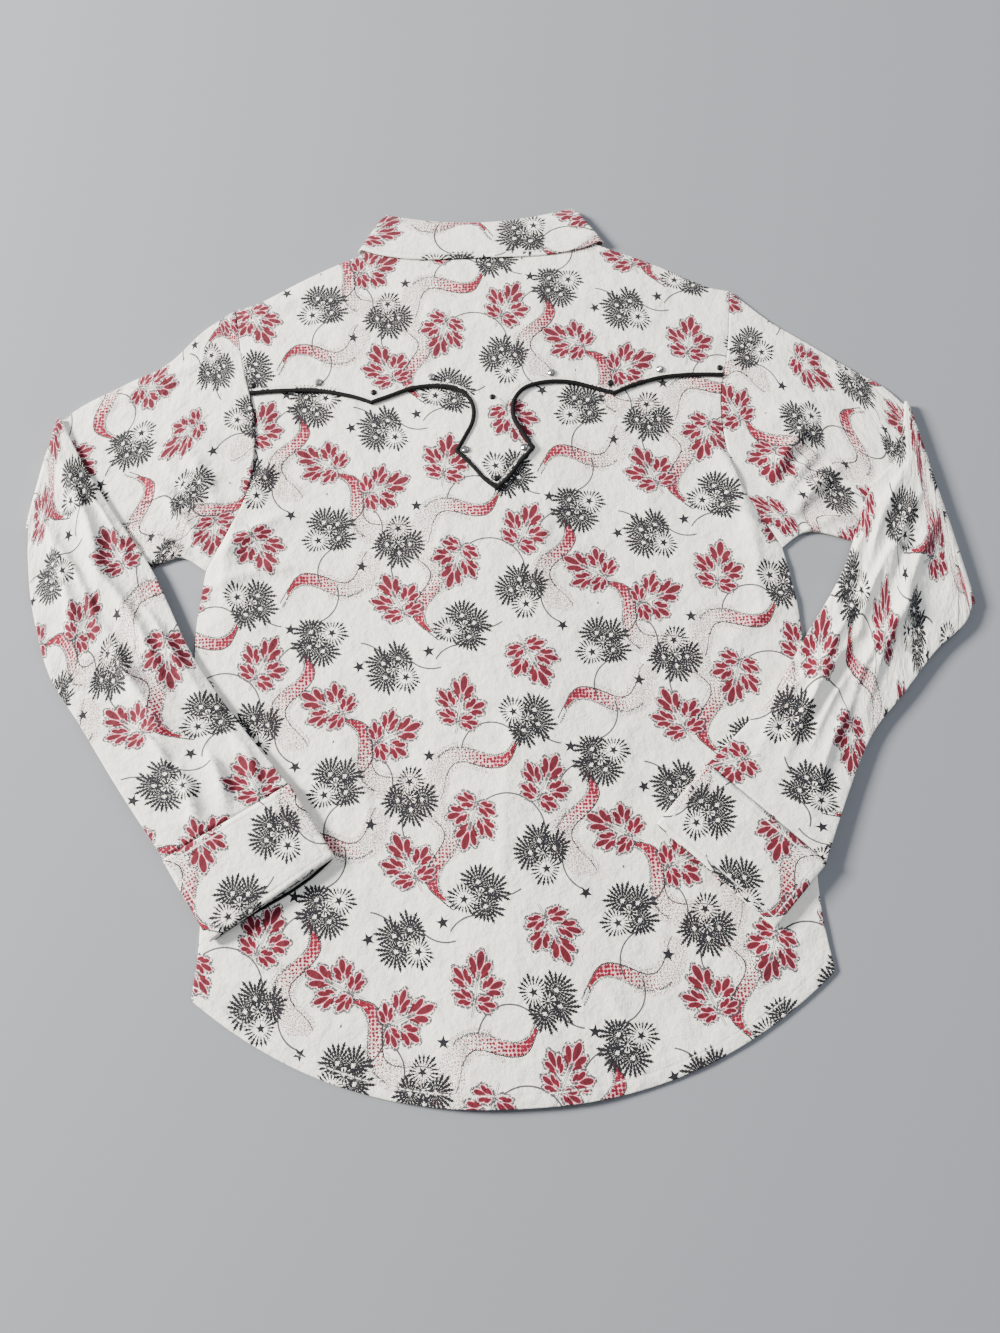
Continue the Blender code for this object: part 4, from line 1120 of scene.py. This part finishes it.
def level_ring(row, half, facing):
    """One section that lies level: places and heights."""
    share, rise = face_shares()
    over, under = np.array(row[0:2]), np.array(row[2:4])
    place = over + share[:, None] * (under - over)
    place[:, 0] -= math.copysign(1.0, row[0]) * row[4] * 4.0 * share * (1.0 - share)
    return np.column_stack([place, row[5] + facing * half * rise])


def head_ring(side, mid):
    share, rise = face_shares()
    place = armhole_places(share, SEAM_CLEAR)
    return np.column_stack([side * place[:, 0], place[:, 1], mid + SLEEVE_HALF * rise])


def elbow_rings(row, steps):
    """Sections round the fold at the elbow."""
    share, rise = face_shares()
    over, under = np.array(row[0:2]), np.array(row[2:4])
    along = (under - over) / np.hypot(*(under - over))
    outward = np.array((along[1], -along[0])) * (1.0 if along[1] * row[0] > 0.0 else -1.0)
    rings = []
    for turn in np.linspace(0.0, math.pi, steps + 1):
        reach = (TURN_R - SLEEVE_HALF * rise) * math.sin(turn)
        place = over + share[:, None] * (under - over) + reach[:, None] * outward
        height = row[5] + TURN_R * (1.0 - math.cos(turn)) + SLEEVE_HALF * rise * math.cos(turn)
        rings.append(np.column_stack([place, height]))
    return rings


def lofted(name, rings, turned_over_from, creases_under, creases_over, seed, hand_edge=None):
    """A flattened tube of lawn through its rings, with creases on the face that shows."""
    rings = np.array(rings)
    sections, count = rings.shape[0], rings.shape[1]
    share, rise = face_shares()
    # Lengths run along the face that goes round the outside of the elbow.
    outer = rings[:, AROUND + AROUND // 2]
    lengths = np.concatenate([[0.0], np.cumsum(np.linalg.norm(np.diff(outer, axis=0), axis=1))])
    run = np.cumsum(np.linalg.norm(np.roll(rings, -1, axis=1) - rings, axis=2), axis=1)
    run = np.column_stack([np.zeros(sections), run])
    girths = run[:, -1]
    for creases, rows, shows in ((creases_under, slice(0, turned_over_from), rise > 0.0),
                                 (creases_over, slice(turned_over_from, None), rise < 0.0)):
        part = rings[rows]
        x, y = part[..., 0].ravel(), part[..., 1].ravel()
        lift = crease_height(x, y, creases) + 0.8 * rumple(x, y, seed)
        held = (4.0 * share * (1.0 - share)) ** 0.35 * shows
        part[..., 2] += lift.reshape(part.shape[:2]) * held
    rings[..., 2] = np.clip(rings[..., 2], TABLE_CLEAR, CREST_TOP)
    widths = np.hypot(*(rings[:, AROUND, :2] - rings[:, 0, :2]).T)
    verts = rings.reshape(-1, 3)
    faces = []
    for i in range(sections - 1):
        for j in range(count):
            k = (j + 1) % count
            faces.append((i * count + j, i * count + k, (i + 1) * count + k, (i + 1) * count + j))
    mesh = bpy.data.meshes.new(name)
    mesh.from_pydata(verts * MM, [], faces)
    if mesh.polygons[AROUND // 2].normal.z < 0.0:
        mesh.flip_normals()
    beyond = np.arange(count) > AROUND
    across = run[:, :-1] - beyond * girths[:, None] - 0.5 * run[:, AROUND, None]
    down = np.repeat(-lengths[:, None], count, axis=1)
    grain = np.column_stack([across.ravel() + 40.0 * seed, down.ravel() + 17.0 * seed])
    write_uv(mesh, "grain", grain)
    fix_seam(mesh, girths, count)
    sewn = np.full(down.shape, 50.0) if hand_edge is None else hand_edge(share, lengths, widths)
    write_uv(mesh, "stitch", np.column_stack([sewn.ravel(), down.ravel()]))
    area = float(((widths[1:] + widths[:-1]) * np.diff(lengths)).sum()) * MM * MM
    return mesh, area, lengths[-1], widths


def fix_seam(mesh, girths, count):
    """The underarm seam: the last quad of each ring takes its cloth from the lower face."""
    layer = mesh.uv_layers["grain"]
    for face in mesh.polygons:
        shared = [mesh.loops[k].vertex_index for k in face.loop_indices]
        around = [v % count for v in shared]
        if AROUND in around and AROUND + 1 in around:
            for k, v in zip(face.loop_indices, shared):
                if v % count == AROUND:
                    layer.data[k].uv[0] -= girths[v // count] * MM


def sleeve_piece(side, upper, elbow, forearm, creases_upper, creases_forearm):
    hand = "right" if side > 0 else "left"
    first = [head_ring(side, upper[0][5])] + [level_ring(row, SLEEVE_HALF, 1) for row in upper]
    turn = elbow_rings(elbow, 10)
    last = [level_ring(row, SLEEVE_HALF, -1) for row in forearm]
    first = curve_through(first + [turn[0]], STEPS)
    last = curve_through([turn[-1]] + last, STEPS)
    rings = first[:-1] + turn[:-1] + last
    mesh, area, length, widths = lofted("sleeve_" + hand, rings, len(first) + 5, creases_upper,
                                        creases_forearm, 1.0 + 1.3 * (side > 0))
    piece = lined_up(new_piece(f"sleeve_{hand}_cloth", mesh, lawn, "cotton_lawn", "sleeve_" + hand), 0.6)


sleeve_piece(-1, UPPER_LEFT, ELBOW_LEFT, FOREARM_LEFT, UPPER_CREASES_LEFT, FOREARM_CREASES_LEFT)
sleeve_piece(1, UPPER_RIGHT, ELBOW_RIGHT, FOREARM_RIGHT, UPPER_CREASES_RIGHT, FOREARM_CREASES_RIGHT)

# ---- Cuffs ---------------------------------------------------------------------------------------
# Two plies of lawn with interlining between, so they lie flat and firm, topstitched all round. Each
# closes in a loop, and black piping inside its hand edge shows where the plies part.

CUFF_HALF = 2.4
CUFF_LEFT = (
    (-168.7, -138.9, -263.7, -191.9, 0.0, 8.4),
    (-134.0, -196.0, -226.0, -254.0, 0.0, 8.4),
)
CUFF_RIGHT = (
    (158.6, -136.9, 241.6, -216.4, 0.0, 8.4),
    (116.0, -182.0, 197.0, -262.0, 0.0, 8.4),
)
CUFF_PIPING_Z = 4.4
CUFF_CREASES = (
    (-190.0, -160.0, -158.0, -220.0, 16.0, 0.7, 0.2),
    (-238.0, -190.0, -214.0, -236.0, 14.0, 0.6, -0.2),
    (184.0, -176.0, 150.0, -206.0, 14.0, 0.7, 0.2),
    (214.0, -206.0, 182.0, -240.0, 12.0, 0.6, -0.3),
)
STITCH_IN = 5.0


def cuff_rows(share, lengths, widths):
    """Distance inward from the row of topstitching that runs round the cuff."""
    from_ends = np.minimum(lengths, lengths[-1] - lengths)[:, None] + 0.0 * share[None, :]
    from_folds = np.minimum(share, 1.0 - share)[None, :] * widths[:, None]
    return np.minimum(from_ends, from_folds) - STITCH_IN


def cuff_piece(hand, rows, cord_radius, recess, peek):
    seam, edge = [level_ring(row, CUFF_HALF, -1) for row in rows]
    rings = [seam + (edge - seam) * t for t in np.linspace(0.0, 1.0, 22)]
    mesh, area, length, widths = lofted("cuff_" + hand, rings, 0, (), CUFF_CREASES, 2.6, cuff_rows)
    piece = lined_up(new_piece(f"cuff_{hand}_cloth", mesh, lawn, "cotton_lawn", "cuff_" + hand), 1.0)
    inner, outer = np.array(rows[1][0:2]), np.array(rows[1][2:4])
    down_arm = inner - np.array(rows[0][0:2])
    down_arm /= np.hypot(*down_arm)
    share = np.linspace(0.0, 1.0, 40)
    bulge = peek * np.sin(math.pi * np.clip(share / 0.8, 0.0, 1.0) ** 0.7) ** 1.3 - recess
    path = inner + (0.02 + 0.96 * share)[:, None] * (outer - inner) + bulge[:, None] * down_arm
    path = np.column_stack([path, np.full(len(share), CUFF_PIPING_Z)])
    cord = cord_mesh("cuff_piping_" + hand, path, lambda t: cord_radius, 12)
    trim = new_piece(f"cuff_piping_{hand}_cord", cord, piping_cotton, "piping", "cuff_piping_" + hand)


cuff_piece("left", CUFF_LEFT, 1.2, 0.9, 3.6)
cuff_piece("right", CUFF_RIGHT, 0.8, 0.8, 0.0)

# ---- Collar --------------------------------------------------------------------------------------
# A pointed collar in two pieces, each two plies of lawn: a stand sewn into the neckline, and a leaf
# that turns over it at the fold. Laid face down, the leaf's back lies on the yoke.

FOLD_MID_Y, FOLD_END_Y, FOLD_HALF = 369.0, 380.5, 84.0
FALL_MID_Y, FALL_END_Y, FALL_HALF = 330.0, 343.0, 107.5
FALL_TOP, FALL_BOTTOM, STAND_TOP = 7.9, 0.6, 5.9
STAND_HALF, NECK_DIP, STAND_INSET = 85.0, 62.0, 10.0
FOLD_REACH, FRONT_SHARE = 1.3, 0.07
POINT_X, POINT_Y = 58.0, 262.0
MIDDLE_Z = 0.5 * (FALL_TOP + FALL_BOTTOM)


def neck_stations():
    """Stations round the flattened collar: share of its half width, turn, and whether in front."""
    front = [(FRONT_SHARE + (1.0 - FRONT_SHARE) * t, -90.0, True) for t in np.linspace(0.0, 1.0, 20)]
    turn = [(1.0, t, t < 0.0) for t in np.arange(-72.0, 80.0, 18.0)]
    back = [(t, 90.0, False) for t in np.linspace(1.0, -1.0, 76)]
    left = [(-share, angle, is_front) for share, angle, is_front in reversed(front + turn)]
    return front + turn + back + left


def fall_place(share, front, drop):
    """Plan place on the leaf, from its fold (0) to its free edge (1)."""
    side, part = math.copysign(1.0, share), abs(share)
    fold = np.array((side * part * FOLD_HALF, FOLD_MID_Y + (FOLD_END_Y - FOLD_MID_Y) * part ** 2))
    edge = np.array((side * part * FALL_HALF, FALL_MID_Y + (FALL_END_Y - FALL_MID_Y) * part ** 4))
    if front:
        along = (part - FRONT_SHARE) / (1.0 - FRONT_SHARE)
        fold = np.array((side * part * FOLD_HALF, FOLD_END_Y - NECK_DIP * (1.0 - part) ** 1.3))
        edge = np.array((side * (POINT_X + (FALL_HALF - POINT_X) * along),
                         POINT_Y + (FALL_END_Y - POINT_Y) * along))
    return fold + drop * (edge - fold)


def stand_place(share, front, drop):
    """Plan place on the stand, from under the fold (0) to the neck seam (1)."""
    part = abs(share)
    top = fall_place(share, front, 0.0) - np.array((0.0, STAND_INSET))
    neck_y = FRONT_NECK_Y if front else BACK_NECK_Y
    dip = (SHOULDER[-1][1] - neck_y) * math.sqrt(max(1.0 - part ** 2, 0.0))
    seam = np.array((share * STAND_HALF, SHOULDER[-1][1] + 0.6 - dip))
    return top + drop * (seam - top)


def collar_mesh(name, place, reach_at, drops, wave):
    """A strip of collar round the flattened neck."""
    stations = neck_stations()
    verts, grain, stitch = [], [], []
    run = 0.0
    before = None
    for share, turn, front in stations:
        angle = math.radians(turn)
        fold = place(share, front, 0.0)
        run += 0.0 if before is None else float(np.hypot(*(fold - before)))
        before = fold
        depth = float(np.hypot(*(place(share, front, 1.0) - fold)))
        for drop in drops:
            spot = place(share, front, drop)
            reach = reach_at(drop)
            x = spot[0] + math.copysign(reach * math.cos(angle), share)
            ripple = wave * drop * (0.5 + 0.5 * math.sin(run / 17.0) * math.cos(run / 41.0))
            z = MIDDLE_Z + reach * math.sin(angle) + (ripple if turn > 0.0 else 0.0)
            verts.append((x, spot[1], z))
            grain.append((run + 90.0, 30.0 - drop * depth))
            stitch.append((depth * (1.0 - drop) - STITCH_IN, run))
    wide = len(drops)
    faces = []
    for i in range(len(stations) - 1):
        for j in range(wide - 1):
            faces.append((i * wide + j, i * wide + j + 1, (i + 1) * wide + j + 1, (i + 1) * wide + j))
    mesh = bpy.data.meshes.new(name)
    mesh.from_pydata(np.array(verts) * MM, [], faces)
    write_uv(mesh, "grain", np.array(grain))
    write_uv(mesh, "stitch", np.array(stitch))
    top = max(mesh.polygons, key=lambda face: face.center.z)
    if top.normal.z < 0.0:
        mesh.flip_normals()
    return mesh, sum(face.area for face in mesh.polygons), run


def fall_reach(drop):
    return FOLD_REACH + (FALL_TOP - MIDDLE_Z - FOLD_REACH) * float(ease(0.0, 0.16, drop))


fall_drops = [0.0, 0.02, 0.05, 0.09, 0.14] + list(np.linspace(0.2, 0.95, 12)) + [0.98, 1.0]
mesh, area, length = collar_mesh("collar_fall", fall_place, fall_reach, fall_drops, 0.9)
fall = lined_up(new_piece("collar_fall_cloth", mesh, lawn, "cotton_lawn", "collar_fall"), 1.0)
mesh, area, length = collar_mesh("collar_stand", stand_place, lambda drop: STAND_TOP - MIDDLE_Z,
                                 list(np.linspace(0.0, 1.0, 8)), 0.0)
stand = lined_up(new_piece("collar_stand_cloth", mesh, lawn, "cotton_lawn", "collar_stand"), 1.0)

# ---- Table, light and camera ---------------------------------------------------------------------
# A plain pale table, one soft lamp low on the left, whose light runs across the creases, a broad weak
# one overhead, and a camera that looks down from the hem.

FLOOR_GREY = "#84878C"
TABLE_REACH = 4.0
SKY_GREY, SKY_POWER = "#DDE2EA", 0.44
VIEW_TARGET = (0.0, -0.0485, 0.0)
VIEW_TURN, VIEW_LIFT = math.radians(-2.5), math.radians(75.4)
VIEW_FAR, VIEW_LENS = 0.812, 27.0
LAMPS = (                       # place, size, power, colour, in metres and watts
    ((-3.1, 0.9, 1.65), 0.9, 560.0, "#FFFAF4"),
    ((1.8, 1.6, 2.8), 2.4, 66.0, "#F4F7FF"),
)

mesh = bpy.data.meshes.new("table")
corners = [(x * TABLE_REACH, y * TABLE_REACH, 0.0) for x, y in ((-1, -1), (1, -1), (1, 1), (-1, 1))]
mesh.from_pydata(corners, [], [(0, 1, 2, 3)])
material, tree = empty_material("painted table, matt")
finish_surface(tree, linear(FLOOR_GREY), 0.9, None, {})
mesh.materials.append(material)
table = bpy.data.objects.new("table", mesh)
bpy.context.scene.collection.objects.link(table)

for i, (place, size, power, colour) in enumerate(LAMPS):
    light = bpy.data.lights.new(f"softbox_{i + 1}", "AREA")
    light.size = size
    light.energy = power
    light.color = linear(colour)[:3]
    lamp = bpy.data.objects.new(light.name, light)
    lamp.location = place
    lamp.rotation_euler = (Vector(VIEW_TARGET) - Vector(place)).to_track_quat("-Z", "Y").to_euler()
    bpy.context.scene.collection.objects.link(lamp)

world = bpy.data.worlds.new("studio")
world.use_nodes = True
world.node_tree.nodes["Background"].inputs["Color"].default_value = linear(SKY_GREY)
world.node_tree.nodes["Background"].inputs["Strength"].default_value = SKY_POWER
bpy.context.scene.world = world

right = Vector((math.cos(VIEW_TURN), math.sin(VIEW_TURN), 0.0))
back_way = Vector((math.sin(VIEW_TURN) * math.cos(VIEW_LIFT), -math.cos(VIEW_TURN) * math.cos(VIEW_LIFT),
                   math.sin(VIEW_LIFT)))
camera_data = bpy.data.cameras.new("camera")
camera_data.lens = VIEW_LENS
camera = bpy.data.objects.new("camera", camera_data)
bpy.context.scene.collection.objects.link(camera)
turn = Matrix((right, back_way.cross(right), back_way)).transposed().to_4x4()
camera.matrix_world = Matrix.Translation(Vector(VIEW_TARGET) + VIEW_FAR * back_way) @ turn
bpy.context.scene.camera = camera
